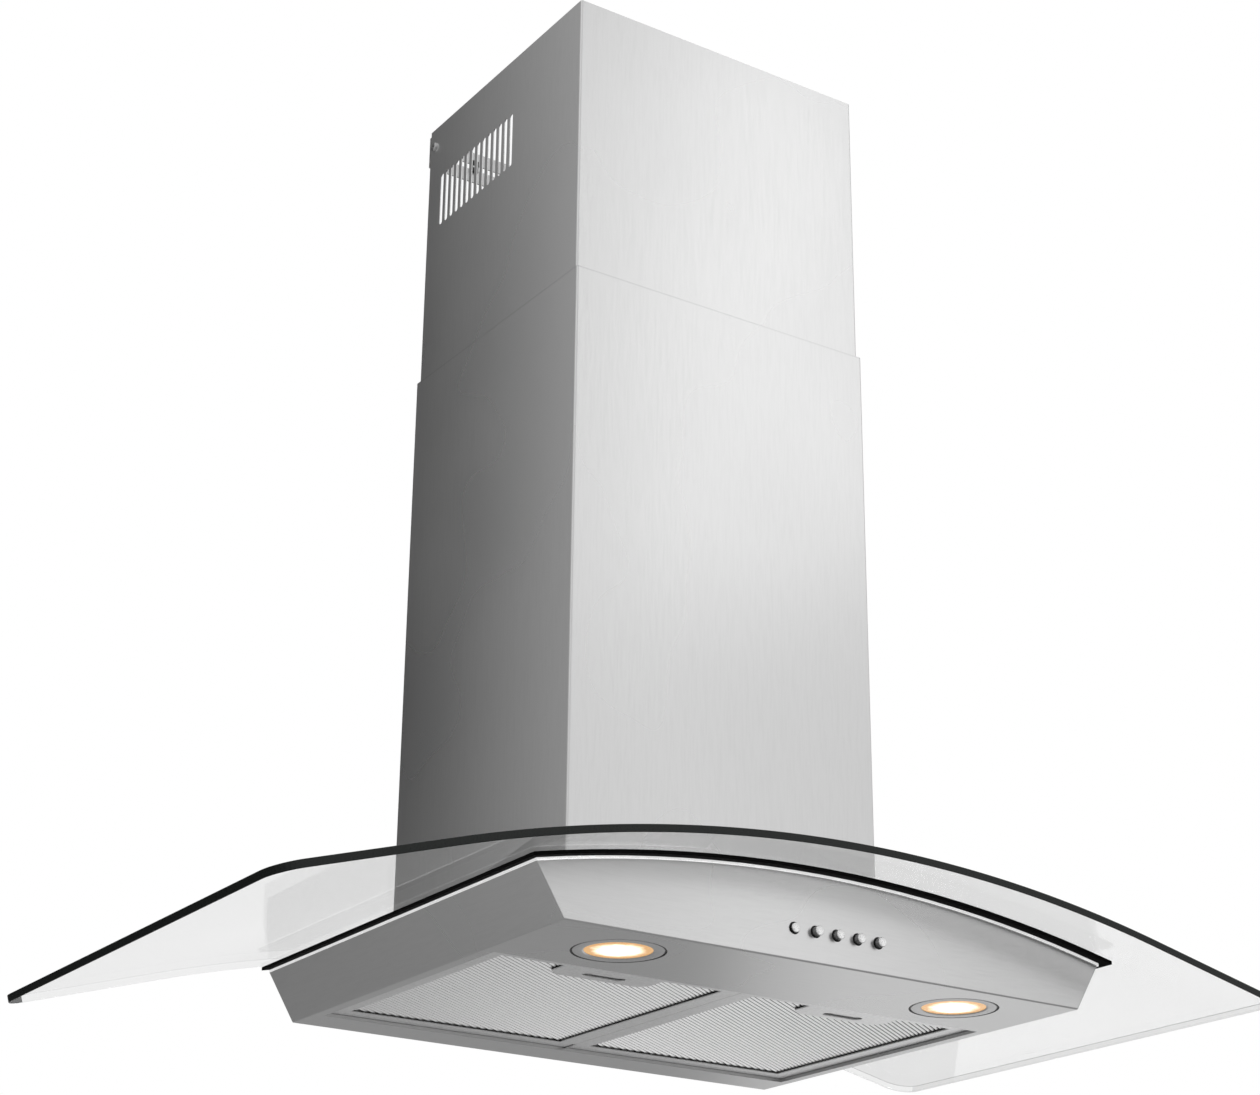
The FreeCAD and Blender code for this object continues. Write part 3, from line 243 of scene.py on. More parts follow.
class Finish:
    """A material being built: its tree, its Principled node and helpers to add to it."""

    def __init__(self, name, **sockets):
        self.material = bpy.data.materials.new(name)
        self.material.use_nodes = True
        self.tree = self.material.node_tree
        self.shader = self.tree.nodes["Principled BSDF"]
        self.surface = self.tree.nodes["Material Output"].inputs["Surface"]
        for socket, value in sockets.items():
            label = socket.replace("_", " ").title().replace("Ior", "IOR")
            self.shader.inputs[label].default_value = value
        self.place = self.add("ShaderNodeTexCoord").outputs["Object"]

    def add(self, kind, **settings):
        """A new node of a kind."""
        made = self.tree.nodes.new(kind)
        for setting, value in settings.items():
            setattr(made, setting, value)
        return made

    def join(self, source, target):
        """Join an output to an input."""
        self.tree.links.new(source, target)

    def fill(self, value, socket):
        """Set a socket to a constant, or join it to another node's output."""
        if isinstance(value, bpy.types.NodeSocket):
            self.join(value, socket)
        else:
            socket.default_value = value

    def looks_along(self, axis):
        """1 on faces that look along an axis, either way, and 0 on the others."""
        parts = self.add("ShaderNodeSeparateXYZ")
        self.join(self.add("ShaderNodeNewGeometry").outputs["True Normal"], parts.inputs["Vector"])
        size = self.add("ShaderNodeMath", operation="ABSOLUTE")
        self.join(parts.outputs[axis], size.inputs[0])
        step = self.add("ShaderNodeMath", operation="GREATER_THAN")
        self.join(size.outputs[0], step.inputs[0])
        return step.outputs[0]

    def either(self, factor, first, second):
        """One vector or the other."""
        mix = self.add("ShaderNodeMix", data_type="VECTOR")
        self.join(factor, mix.inputs["Factor"])
        mix.inputs["A"].default_value = first
        mix.inputs["B"].default_value = second
        vector_result = 1
        return mix.outputs[vector_result]

    def height(self):
        """Height of a point in the frame."""
        parts = self.add("ShaderNodeSeparateXYZ")
        self.join(self.place, parts.inputs["Vector"])
        return parts.outputs["Z"]

    def times_plus(self, first, share, second):
        """One number times a share, plus another number."""
        total = self.add("ShaderNodeMath", operation="MULTIPLY_ADD")
        self.join(first, total.inputs[0])
        total.inputs[1].default_value = share
        self.join(second, total.inputs[2])
        return total.outputs[0]

    def noise(self, scale, detail=3.0, stretch=(1, 1, 1), rough=0.5):
        """Noise with a number of grains per metre along each axis."""
        spread = self.add("ShaderNodeVectorMath", operation="MULTIPLY")
        self.join(self.place, spread.inputs[0])
        self.fill(stretch, spread.inputs[1])
        grain = self.add("ShaderNodeTexNoise")
        grain.inputs["Scale"].default_value = scale
        grain.inputs["Detail"].default_value = detail
        grain.inputs["Roughness"].default_value = rough
        self.join(spread.outputs["Vector"], grain.inputs["Vector"])
        return grain.outputs["Fac"]

    def between(self, factor, low, high, start=0.3, end=0.7):
        """A number that goes from low to high as a factor goes from start to end."""
        span = self.add("ShaderNodeMapRange")
        span.inputs["From Min"].default_value = start
        span.inputs["From Max"].default_value = end
        span.inputs["To Min"].default_value = low
        span.inputs["To Max"].default_value = high
        self.join(factor, span.inputs["Value"])
        return span.outputs["Result"]

    def tint(self, factor, low, high, start=0.3, end=0.7):
        """A colour that goes from low to high with a factor."""
        ramp = self.add("ShaderNodeValToRGB")
        ramp.color_ramp.elements[0].position = start
        ramp.color_ramp.elements[1].position = end
        ramp.color_ramp.elements[0].color = (*low, 1)
        ramp.color_ramp.elements[1].color = (*high, 1)
        self.join(factor, ramp.inputs["Fac"])
        return ramp.outputs["Color"]

    def colour(self, source):
        self.join(source, self.shader.inputs["Base Color"])

    def rough(self, source):
        self.join(source, self.shader.inputs["Roughness"])

    def lit(self, colour, strength):
        """Give off light of a colour."""
        self.join(colour, self.shader.inputs["Emission Color"])
        self.join(strength, self.shader.inputs["Emission Strength"])

    def bump(self, source, strength, distance):
        """Raise the surface a little where a number is high."""
        made = self.add("ShaderNodeBump")
        made.inputs["Strength"].default_value = strength
        made.inputs["Distance"].default_value = distance
        self.join(source, made.inputs["Height"])
        self.join(made.outputs["Normal"], self.shader.inputs["Normal"])

    def brushed_across(self, brushing):
        """Stretch highlights square to the brushing direction."""
        surface = self.add("ShaderNodeNewGeometry")
        across = self.add("ShaderNodeVectorMath", operation="CROSS_PRODUCT")
        self.fill(brushing, across.inputs[1])
        self.join(surface.outputs["Normal"], across.inputs[0])
        self.join(across.outputs["Vector"], self.shader.inputs["Tangent"])


def grey(value):
    """A neutral grey."""
    return (value, value, value)


def brushed_steel(name, brushing, side_brushing, seam_shade_top=None):
    """Stainless steel brushed along one axis, and along another on faces that look sideways.

    Towards the top edge the sheet gets darker: painted shade that stands in for the contact shadow at
    the seam under the upper chimney.
    """
    finish = Finish(name, metallic=1.0, anisotropic=0.5)
    sideways = finish.looks_along("X")

    def grain(per_metre, rough):
        along, across = per_metre
        stretches = [[along if part else across for part in axis]
                     for axis in (brushing, side_brushing)]
        return finish.noise(1.0, 3.0, finish.either(sideways, *stretches), rough)

    streaks = grain(STREAK_GRAINS, 0.65)
    scratches = grain(SCRATCH_GRAINS, 0.7)
    clouds = finish.noise(3.0, 2.0)
    mixed = finish.times_plus(scratches, SCRATCH_SHARE, streaks)
    dark = grey(STEEL_GREY - STEEL_CONTRAST)
    light = grey(STEEL_GREY + STEEL_CONTRAST)
    shade = finish.tint(mixed, dark, light, 0.65, 1.15)
    # painted shade: darken the strip under the seam to stand in for its contact shadow
    if seam_shade_top is not None:
        seam_darkening = finish.add("ShaderNodeVectorMath", operation="SCALE")
        finish.join(shade, seam_darkening.inputs[0])
        dim = finish.between(finish.height(), 1.0, SEAM_SHADE_FACTOR, seam_shade_top - SEAM_SHADE_TALL, seam_shade_top)
        finish.join(dim, seam_darkening.inputs["Scale"])
        shade = seam_darkening.outputs["Vector"]
    finish.colour(shade)
    smoothest = STEEL_ROUGH - STEEL_ROUGH_SPREAD
    roughest = STEEL_ROUGH + STEEL_ROUGH_SPREAD
    finish.rough(finish.between(clouds, smoothest, roughest))
    finish.bump(scratches, 0.05, 0.00004)
    finish.brushed_across(finish.either(sideways, brushing, side_brushing))
    return finish.material


def plated(name, base, rough, speck=220.0):
    """Zinc-coated or plated metal with a faint spangle."""
    finish = Finish(name, metallic=1.0)
    spangle = finish.noise(speck, 3.0)
    finish.colour(finish.tint(spangle, grey(base * 0.9), grey(base * 1.08)))
    finish.rough(finish.between(spangle, rough - 0.06, rough + 0.08))
    finish.bump(spangle, 0.05, 0.0001)
    return finish.material


def plastic(name, colour, rough=0.45, grain=900.0, shine=0.35):
    """Moulded plastic or rubber with a fine grain."""
    finish = Finish(name, specular_ior_level=shine)
    texture = finish.noise(grain, 2.0)
    clouds = finish.noise(25.0, 3.0)
    dark = [value * 0.85 for value in colour]
    light = [value * 1.15 for value in colour]
    finish.colour(finish.tint(clouds, dark, light))
    finish.rough(finish.between(texture, rough - 0.06, rough + 0.08))
    finish.bump(texture, 0.12, 0.00008)
    return finish.material


def clear_glass():
    """Float glass of the canopy, with a little grey-green tint."""
    finish = Finish("CanopyGlass", transmission_weight=1.0, ior=1.5, roughness=0.0)
    haze = finish.noise(4.0, 2.0)
    finish.colour(finish.tint(haze, (0.935, 0.945, 0.94), (0.945, 0.955, 0.95)))
    through = finish.add("ShaderNodeBsdfTransparent")
    finish.join(finish.tint(haze, grey(0.92), grey(0.94)), through.inputs["Color"])
    coated = finish.add("ShaderNodeMixShader")
    coated.inputs["Fac"].default_value = GLASS_CALM
    finish.join(finish.shader.outputs[0], coated.inputs[1])
    finish.join(through.outputs[0], coated.inputs[2])
    finish.join(coated.outputs[0], finish.surface)
    return finish.material


def painted_dark_glass_edge():
    """Ground and polished edge of the glass, painted nearly black: painted shade that stands in for how
    dark the edge looks from outside.
    """
    finish = Finish("PaintedDarkGlassEdge", ior=1.3)
    grind = finish.noise(700.0, 2.0, (1, 1, 3))
    finish.colour(finish.tint(grind, (0.008, 0.010, 0.009), (0.018, 0.021, 0.020)))
    finish.rough(finish.between(grind, 0.25, 0.4))
    return finish.material


def bright_edge():
    """Polished plate whose rim gives off light, which stands in for a bright reflection."""
    finish = Finish("BrightEdge", metallic=1.0)
    polish = finish.noise(60.0, 3.0, (1, 1, 8))
    shine = finish.tint(polish, grey(0.86), grey(0.98))
    finish.colour(shine)
    finish.lit(shine, finish.between(finish.looks_along("Z"), LIP_GLOW, 0.0))
    finish.rough(finish.between(polish, 0.15, 0.3))
    finish.bump(polish, 0.05, 0.0001)
    return finish.material


def turned_metal(name, dark, light):
    """Turned and satin-polished aluminium of the buttons."""
    finish = Finish(name, metallic=1.0)
    grain = finish.noise(1.0, 3.0, (900, 90, 900))
    finish.colour(finish.tint(grain, grey(dark), grey(light)))
    finish.rough(finish.between(grain, 0.22, 0.40))
    finish.bump(grain, 0.15, 0.0001)
    return finish.material


def from_middle(finish):
    """Distance from the middle of a piece's box, 0 at the middle and 1 at its sides."""
    shift = finish.add("ShaderNodeVectorMath", operation="SUBTRACT")
    shift.inputs[1].default_value = (0.5, 0.5, 0.0)
    finish.join(finish.tree.nodes["Texture Coordinate"].outputs["Generated"], shift.inputs[0])
    flat = finish.add("ShaderNodeVectorMath", operation="MULTIPLY")
    flat.inputs[1].default_value = (2, 2, 0)
    finish.join(shift.outputs["Vector"], flat.inputs[0])
    length = finish.add("ShaderNodeVectorMath", operation="LENGTH")
    finish.join(flat.outputs["Vector"], length.inputs[0])
    return length.outputs["Value"]


def lamp_lens():
    """Frosted lens lit from behind: white in the middle, amber towards the rim."""
    finish = Finish("LampLens", roughness=0.2)
    reach = from_middle(finish)
    facets = finish.noise(140.0, 3.0)
    rings = finish.times_plus(facets, LENS_FACETS, reach)
    warmth = finish.tint(rings, (1.0, 0.96, 0.84), (0.80, 0.44, 0.16), 0.60, 1.12)
    finish.colour(warmth)
    finish.lit(warmth, finish.between(rings, LENS_MIDDLE_GLOW, LENS_RIM_GLOW, 0.45, 0.98))
    finish.rough(finish.between(facets, 0.12, 0.35))
    finish.bump(facets, 0.2, 0.0004)
    return finish.material


def lamp_can():
    """Spun aluminium can whose flange is painted black where it closes the ring around the bezel:
    painted shade for the dark gap there.
    """
    finish = Finish("LampCan", metallic=0.6, roughness=0.4)
    spin = finish.noise(300.0, 2.0, (1, 1, 6))
    # painted shade: black below the flange height, for the gap around the bezel
    unshaded_share = finish.between(finish.height(), 0.0, 1.0, CAN_SHADE_BELOW, CAN_UNSHADED_ABOVE)
    shade = finish.add("ShaderNodeMath", operation="MULTIPLY")
    finish.join(unshaded_share, shade.inputs[0])
    finish.join(spin, shade.inputs[1])
    finish.colour(finish.tint(shade.outputs[0], grey(0.006), grey(0.7), 0.05, 0.6))
    finish.rough(finish.between(spin, 0.3, 0.5))
    finish.bump(spin, 0.08, 0.0001)
    return finish.material


# ---------------------------------------------------------------- camera, light and floor

def make_camera():
    """The camera looks up at the hood from the front left."""
    data = bpy.data.cameras.new("Camera")
    camera = bpy.data.objects.new("Camera", data)
    SCENE.collection.objects.link(camera)
    forward = Vector((math.sin(CAMERA_YAW) * math.cos(CAMERA_PITCH),
                      math.cos(CAMERA_YAW) * math.cos(CAMERA_PITCH), math.sin(CAMERA_PITCH)))
    level = Vector((math.cos(CAMERA_YAW), -math.sin(CAMERA_YAW), 0))
    upward = level.cross(forward)
    right = level * math.cos(CAMERA_ROLL) + upward * math.sin(CAMERA_ROLL)
    up = upward * math.cos(CAMERA_ROLL) - level * math.sin(CAMERA_ROLL)
    axes = Matrix((right, up, -forward)).transposed().to_4x4()
    camera.matrix_world = Matrix.Translation(CAMERA_PLACE) @ axes
    data.sensor_width = 36.0
    data.lens = CAMERA_LENS
    data.shift_x, data.shift_y = CAMERA_SHIFT
    SCENE.camera = camera


def make_surround():
    """A surround that is white to the camera and through glass, and dim with glows in reflections."""
    world = bpy.data.worlds.new("Studio")
    SCENE.world = world
    world.use_nodes = True
    tree = world.node_tree
    tree.nodes.clear()
    direction = tree.nodes.new("ShaderNodeTexCoord").outputs["Generated"]
    glow = tree.nodes.new("ShaderNodeValue").outputs[0]
    glow.default_value = SURROUND
    for aim, start, full, radiance in GLOWS:
        dot = tree.nodes.new("ShaderNodeVectorMath")
        dot.operation = "DOT_PRODUCT"
        dot.inputs[1].default_value = Vector(aim).normalized()
        tree.links.new(direction, dot.inputs[0])
        span = tree.nodes.new("ShaderNodeMapRange")
        span.interpolation_type = "SMOOTHSTEP"
        span.inputs["From Min"].default_value = start
        span.inputs["From Max"].default_value = full
        span.inputs["To Max"].default_value = radiance
        tree.links.new(dot.outputs["Value"], span.inputs["Value"])
        total = tree.nodes.new("ShaderNodeMath")
        tree.links.new(span.outputs["Result"], total.inputs[0])
        tree.links.new(glow, total.inputs[1])
        glow = total.outputs[0]
    light = tree.nodes.new("ShaderNodeBackground")
    tree.links.new(glow, light.inputs["Color"])
    backdrop = tree.nodes.new("ShaderNodeBackground")
    backdrop.inputs["Color"].default_value = (1, 1, 1, 1)
    path = tree.nodes.new("ShaderNodeLightPath")
    either = tree.nodes.new("ShaderNodeMath")
    either.operation = "MAXIMUM"
    tree.links.new(path.outputs["Is Camera Ray"], either.inputs[0])
    tree.links.new(path.outputs["Is Transmission Ray"], either.inputs[1])
    choice = tree.nodes.new("ShaderNodeMixShader")
    tree.links.new(either.outputs[0], choice.inputs["Fac"])
    tree.links.new(light.outputs["Background"], choice.inputs[1])
    tree.links.new(backdrop.outputs["Background"], choice.inputs[2])
    output = tree.nodes.new("ShaderNodeOutputWorld")
    tree.links.new(choice.outputs["Shader"], output.inputs["Surface"])
    SCENE.view_settings.view_transform = "Standard"


def make_panels():
    """Soft light panels, which the camera does not see."""
    for name, place, target, width, height, radiance in PANELS:
        data = bpy.data.lights.new(name, "AREA")
        data.shape = "RECTANGLE"
        data.size = width
        data.size_y = height
        data.energy = radiance * math.pi * width * height
        panel = bpy.data.objects.new(name, data)
        panel.location = place
        panel.rotation_euler = (Vector(target) - Vector(place)).to_track_quat("-Z", "Y").to_euler()
        panel.visible_camera = False
        panel.visible_transmission = False
        SCENE.collection.objects.link(panel)


def make_floor():
    """A large pale floor far below the hood."""
    def fill(work):
        bmesh.ops.create_grid(work, x_segments=8, y_segments=8, size=FLOOR_HALF)
        bmesh.ops.translate(work, vec=(0, 0, FLOOR_HEIGHT), verts=work.verts)

    finish = Finish("PaleFloor", roughness=0.7)
    finish.colour(finish.tint(finish.noise(2.0, 4.0), grey(0.53), grey(0.57)))
    floor = bpy.data.objects.new("Floor", mesh_from("Floor", fill))
    floor.data.materials.append(finish.material)
    SCENE.collection.objects.link(floor)


# ---------------------------------------------------------------- glass canopy

def bend(flat):
    """Take a point from the flat pane to the bent and rolled canopy."""
    along, away, depth = flat
    radius = GLASS_RADIUS + (depth + GLASS_THICK / 2)
    turn = (along - PANE_CENTRE) / GLASS_RADIUS
    past = max(abs(turn) - ARC_REACH, 0.0) * GLASS_RADIUS
    side = 1 if turn > 0 else -1
    turn = min(abs(turn), ARC_REACH)
    x = side * (radius * math.sin(turn) + past * math.cos(turn))
    z = radius * math.cos(turn) - past * math.sin(turn)
    cosine = math.cos(CANOPY_ROLL)
    sine = math.sin(CANOPY_ROLL)
    return Vector((x * cosine + z * sine, away, z * cosine - x * sine + ARCH_AXIS_HEIGHT))


def flat_pane(left, right, front, back):
    """The pane before it is bent: rounded corners, a notch for the chimney and screw holes."""
    notch = GLASS_RADIUS * math.asin(NOTCH_HALF / GLASS_RADIUS)
    inset = GLASS_CORNER
    outline = arc((left + inset, front + inset), inset, 180, 270, CORNER_STEPS)
    outline += arc((right - inset, front + inset), inset, 270, 360, CORNER_STEPS)
    outline += arc((right - inset, back - inset), inset, 0, 90, CORNER_STEPS)
    outline += [(notch, back), (notch, NOTCH_FRONT), (-notch, NOTCH_FRONT), (-notch, back)]
    outline += arc((left + inset, back - inset), inset, 90, 180, CORNER_STEPS)
    clamp = GLASS_RADIUS * math.asin(CLAMP_X / GLASS_RADIUS)
    holes = [arc((side * clamp, away), GLASS_HOLE, 360, 360 / HOLE_STEPS, HOLE_STEPS - 1)
             for side in (-1, 1) for away in CLAMP_Y]
    return flat_plate("glass_pane", [outline, *holes], GLASS_THICK, GLASS_ARRIS)


def is_painted_dark_edge(face, left, front):
    """Whether a face of the flat pane gets the painted shade of the dark edge: on its front or left
    edge, or an arris of its right half.
    """
    place = face.calc_center_median()
    if abs(face.normal.z) > PANE_FLAT:
        return False
    on_front = place.y < front + GLASS_CORNER and abs(face.normal.y) > EDGE_LEAN
    on_left = place.x < left + GLASS_CORNER and abs(face.normal.x) > EDGE_LEAN
    on_right_arris = place.x > 0 and abs(face.normal.z) > ARRIS_LEAN
    return on_front or on_left or on_right_arris


def glass_canopy(glass, edge):
    """The pane, cut into strips and bent about the arch axis, with wings that stay straight.

    Its front and left edges are painted black, as painted shade; the others are clear, with arrises on
    the right half painted dark the same way.
    """
    low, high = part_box("glass_canopy")
    half = GLASS_RADIUS * ARC_REACH + (CHORD_HALF - ARC_HALF) / math.cos(ARC_REACH)
    left = PANE_CENTRE - half
    mesh = flat_pane(left, PANE_CENTRE + half, low.y, high.y)
    work = bmesh.new()
    work.from_mesh(mesh)
    bmesh.ops.remove_doubles(work, verts=work.verts, dist=SAME_CORNER)
    for step in range(BEND_STRIPS + 1):
        along = PANE_CENTRE + GLASS_RADIUS * ARC_REACH * (2 * step / BEND_STRIPS - 1)
        bmesh.ops.bisect_plane(work, geom=work.verts[:] + work.edges[:] + work.faces[:], dist=TINY,
                               plane_co=(along, 0, 0), plane_no=(1, 0, 0))
    bmesh.ops.recalc_face_normals(work, faces=work.faces)
    for face in work.faces:
        # painted shade: the front and left edges and the right half's arrises take the near-black edge
        # material
        face.material_index = 1 if is_painted_dark_edge(face, left, low.y) else 0
    for vertex in work.verts:
        vertex.co = bend(vertex.co)
    work.to_mesh(mesh)
    work.free()
    smooth(mesh, 8)
    link("canopy_pane", mesh, "hood", [glass, edge], "glass_canopy")


# ---------------------------------------------------------------- filter mesh

def kept_spans(origin, along, low, high, notch_low, notch_high):
    """The stretches of a line that lie in the filter's rectangle and outside the latch's notch."""
    def crossing(first, last):
        enter, leave = -1.0, 1.0
        for axis in (0, 1):
            ends = sorted((corner[axis] - origin[axis]) / along[axis] for corner in (first, last))
            enter = max(enter, ends[0])
            leave = min(leave, ends[1])
        return enter, leave

    start, end = crossing(low, high)
    enter, leave = crossing(notch_low, notch_high)
    if leave <= enter:
        return [(start, end)]
    return [(start, min(end, enter)), (max(start, leave), end)]


def strand(work, start, end, across, height, wide):
    """One flat strand of expanded metal, tilted about its own length."""
    lean = across * math.cos(STRAND_TILT) + UP * math.sin(STRAND_TILT)
    thick = UP * math.cos(STRAND_TILT) - across * math.sin(STRAND_TILT)
    rings = []
    for place in (start, end):
        middle = Vector((place.x, place.y, height))
        rings.append([work.verts.new(middle + lean * wide / 2 * side + thick * STRAND_THICK / 2 * level)
                      for side, level in ((-1, -1), (1, -1), (1, 1), (-1, 1))])
    for corner in range(4):
        after = (corner + 1) % 4
        work.faces.new((rings[0][corner], rings[0][after], rings[1][after], rings[1][corner]))
    for ring in rings:
        work.faces.new(ring)


def filter_mesh(side, metal, shade_sheet):
    """Expanded aluminium of one filter: strands below and crossing strands above a dark sheet, which is
    painted shade for the filter's shadowed inside.
    """
    node = f"filter_{side}_mesh"
    low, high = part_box(node)
    middle = (low + high) / 2
    edge = Vector((STRAND_EDGE, STRAND_EDGE, 0))
    notch_low = (middle.x - LATCH_ROOM_HALF - STRAND_EDGE, low.y - STRAND_EDGE)
    notch_high = (middle.x + LATCH_ROOM_HALF + STRAND_EDGE, LATCH_ROOM_BACK + STRAND_EDGE)

    def fill(work):
        for face, turn, pitch, wide in STRANDS:
            swell = (wide * abs(math.sin(STRAND_TILT)) + STRAND_THICK * math.cos(STRAND_TILT)) / 2
            height = (low.z if face > 0 else high.z) + face * swell
            along = Vector((math.cos(math.radians(turn)), math.sin(math.radians(turn)), 0))
            across = Vector((-along.y, along.x, 0))
            reach = abs(along.y) * (high.x - low.x) / 2 + abs(along.x) * (high.y - low.y) / 2
            count = int(reach / pitch)
            for index in range(-count, count + 1):
                origin = middle + across * pitch * index
                spans = kept_spans(origin, along, low + edge, high - edge, notch_low, notch_high)
                for start, end in spans:
                    if end - start > STRAND_EDGE:
                        strand(work, origin + along * start, origin + along * end, across, height, wide)
        edges = (low.x, middle.x - LATCH_ROOM_HALF, middle.x + LATCH_ROOM_HALF, high.x)
        fronts = (low.y, LATCH_ROOM_BACK, low.y)
        for left, right, front in zip(edges, edges[1:], fronts):
            corners = ((left, front), (left, high.y), (right, high.y), (right, front))
            sheet = work.faces.new([work.verts.new((x, y, low.z + SHADE_SHEET_HEIGHT)) for x, y in corners])
            sheet.material_index = 1

    mesh = mesh_from(f"strands_{side}", fill)
    link(f"filter_{side}_strands", mesh, f"filter_{side}", [metal, shade_sheet], node)


# ---------------------------------------------------------------- lamps, buttons and screws

def lamp(side, steel, glow):
    """Turned bezel with a bevelled mouth, and a slightly domed lens."""
    low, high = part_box(f"lamp_{side}_bezel")
    lens_low, lens_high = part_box(f"lamp_{side}_lens")
    middle = (low + high) / 2
    outer = (high.x - low.x) / 2 - BEZEL_GAP
    inner = (lens_high.x - lens_low.x) / 2
    lip = BEZEL_LIP
    ring = [(inner, high.z), (inner, low.z + 2 * lip), (inner + 2 * lip, low.z + lip / 2),
            (inner + 4 * lip, low.z), (outer - lip, low.z), (outer, low.z + lip), (outer, high.z),
            (inner, high.z)]
    dome = [(0, lens_high.z), (inner, lens_high.z), (inner, lens_low.z + LENS_RISE)]
    steps = 12
    for step in range(steps - 1, -1, -1):
        share = step / steps
        dome.append((inner * share, lens_low.z + LENS_RISE * share ** 2))
    place = Matrix.Translation((middle.x, middle.y, 0))
    turned = (("bezel", ring, "bezel_steel", steel), ("lens", dome, "lamp_glass", glow))
    for label, profile, slot, material in turned:
        mesh = mesh_from(f"{label}_{side}", lambda work: lathe(work, profile, place, 96))
        smooth(mesh, 30)
        node = f"lamp_{side}_{label}"
        link(f"{node}_turned", mesh, "hood", [material], node)


def push_button(number, face_metal, shaded_side_metal):
    """Turned button: retaining flange, shank, chamfered and faintly dished face."""
    node = f"button_{number}"
    low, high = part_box(node)
    middle = (low + high) / 2
    long = high.y - low.y
    flange = (high.x - low.x) / 2
    rim = BUTTON_RADIUS - BUTTON_CHAMFER
    profile = [(0, 0), (flange, 0), (flange, BUTTON_FLANGE_THICK), (BUTTON_RADIUS, BUTTON_FLANGE_THICK),
               (BUTTON_RADIUS, long - BUTTON_CHAMFER), (rim, long), (rim * 0.9, long),
               (rim * 0.8, long - 0.8 * BUTTON_DISH), (0, long - BUTTON_DISH)]
    place = facing((0, -1, 0), middle.x, high.y, middle.z)
    mesh = mesh_from(node, lambda work: lathe(work, profile, place, 64))
    smooth(mesh, 25)
    link(f"{node}_turned", mesh, node, [face_metal, shaded_side_metal], node)
    # painted shade: faces that look sideways take the darker copy
    for face in mesh.polygons:
        face.material_index = 1 if abs(face.normal.y) < 0.5 else 0


def islands(node):
    """Boxes of the separate solids in a CAD node."""
    work = bmesh.new()
    work.from_mesh(NODES[node].data)
    bmesh.ops.remove_doubles(work, verts=work.verts, dist=SAME_CORNER)
    waiting = set(work.verts)
    boxes = []
    while waiting:
        queue = [waiting.pop()]
        found = []
        while queue:
            vertex = queue.pop()
            found.append(vertex.co.copy())
            for edge in vertex.link_edges:
                other = edge.other_vert(vertex)
                if other in waiting:
                    waiting.remove(other)
                    queue.append(other)
        boxes.append((Vector([min(point[axis] for point in found) for axis in range(3)]),
                      Vector([max(point[axis] for point in found) for axis in range(3)])))
    work.free()
    return sorted(boxes, key=lambda box: tuple(box[0]))


def screw(work, top, direction, head, tall, shank, long):
    """A pan-head screw with a cross recess; top is the middle of the head's outer face."""
    recess = head * 0.5
    slot = head * 0.13
    deep = tall * 0.45
    arms = 4
    steps = 48
    tip = -tall - long
    profile = [(head * 0.72, -tall * 0.04), (head * 0.92, -tall * 0.22), (head, -tall * 0.55),
               (head, -tall), (shank, -tall), (shank, tip + shank * 0.4), (shank * 0.6, tip), (0, tip)]
    place = facing(direction, *top)
    before = set(work.verts)
    lathe(work, profile, place, steps)
    ring = [vertex for vertex in work.verts if vertex not in before][:steps]
    cross = []
    for arm in range(arms):
        turn = Matrix.Rotation(math.pi / 2 * arm, 4, "Z")
        for x, y in ((slot, slot), (recess, slot), (recess, -slot)):
            cross.append(turn @ Vector((x, y, 0)))
    cross.sort(key=lambda point: math.atan2(point.y, point.x) % (2 * math.pi))
    upper = [work.verts.new(place @ point) for point in cross]
    lower = [work.verts.new(place @ (point * 0.8 - UP * deep)) for point in cross]
    work.faces.new(lower)
    for index, corner in enumerate(upper):
        after = (index + 1) % len(upper)
        work.faces.new((corner, upper[after], lower[after], lower[index]))
    # known fault: some of these edges are not found on three of the cover screws, whose heads stay open
    edges = [work.edges.get((corners[index], corners[(index + 1) % len(corners)]))
             for corners in (ring, upper) for index in range(len(corners))]
    bmesh.ops.triangle_fill(work, use_beauty=True, edges=[edge for edge in edges if edge])


def away_from_arch(middle):
    """Direction from the canopy's arch axis outwards."""
    return Vector((middle.x, 0, middle.z - ARCH_AXIS_HEIGHT)).normalized()


def screws(node, body, shank, tall, outward, metal):
    """Every screw of a CAD node, its head towards a direction that depends on its place."""
    def fill(work):
        for low, high in islands(node):
            middle = (low + high) / 2
            direction = outward(middle)
            axis = max(range(3), key=lambda index: abs(direction[index]))
            size = high - low
            head = min(size[other] for other in range(3) if other != axis) / 2
            top = middle + direction * size[axis] / 2
            screw(work, top, direction, head, tall, shank, size[axis] - tall)

    mesh = mesh_from(node, fill)
    smooth(mesh, 35)
    link(f"{node}_turned", mesh, body, [metal], node)


# ---------------------------------------------------------------- CAD nodes that keep their shape

def soften(node, width):
    """Weld a CAD node's corners and break its sharp edges a little."""
    weld = node.modifiers.new("Weld", "WELD")
    weld.merge_threshold = SAME_CORNER
    edge = node.modifiers.new("Edges", "BEVEL")
    edge.width = width
    edge.segments = 2
    edge.limit_method = "ANGLE"
    edge.angle_limit = math.radians(40)
    edge.harden_normals = False
    firm = node.modifiers.new("FlatFaces", "WEIGHTED_NORMAL")
    firm.keep_sharp = True


def dress(node, material, width):
    """Give a CAD node a material and softened edges."""
    node.data.materials.clear()
    node.data.materials.append(material)
    soften(node, width)


make_camera()
make_surround()
make_panels()
make_floor()

upright_steel = brushed_steel("UprightBrushedSteel", (0, 0, 1), (0, 0, 1))
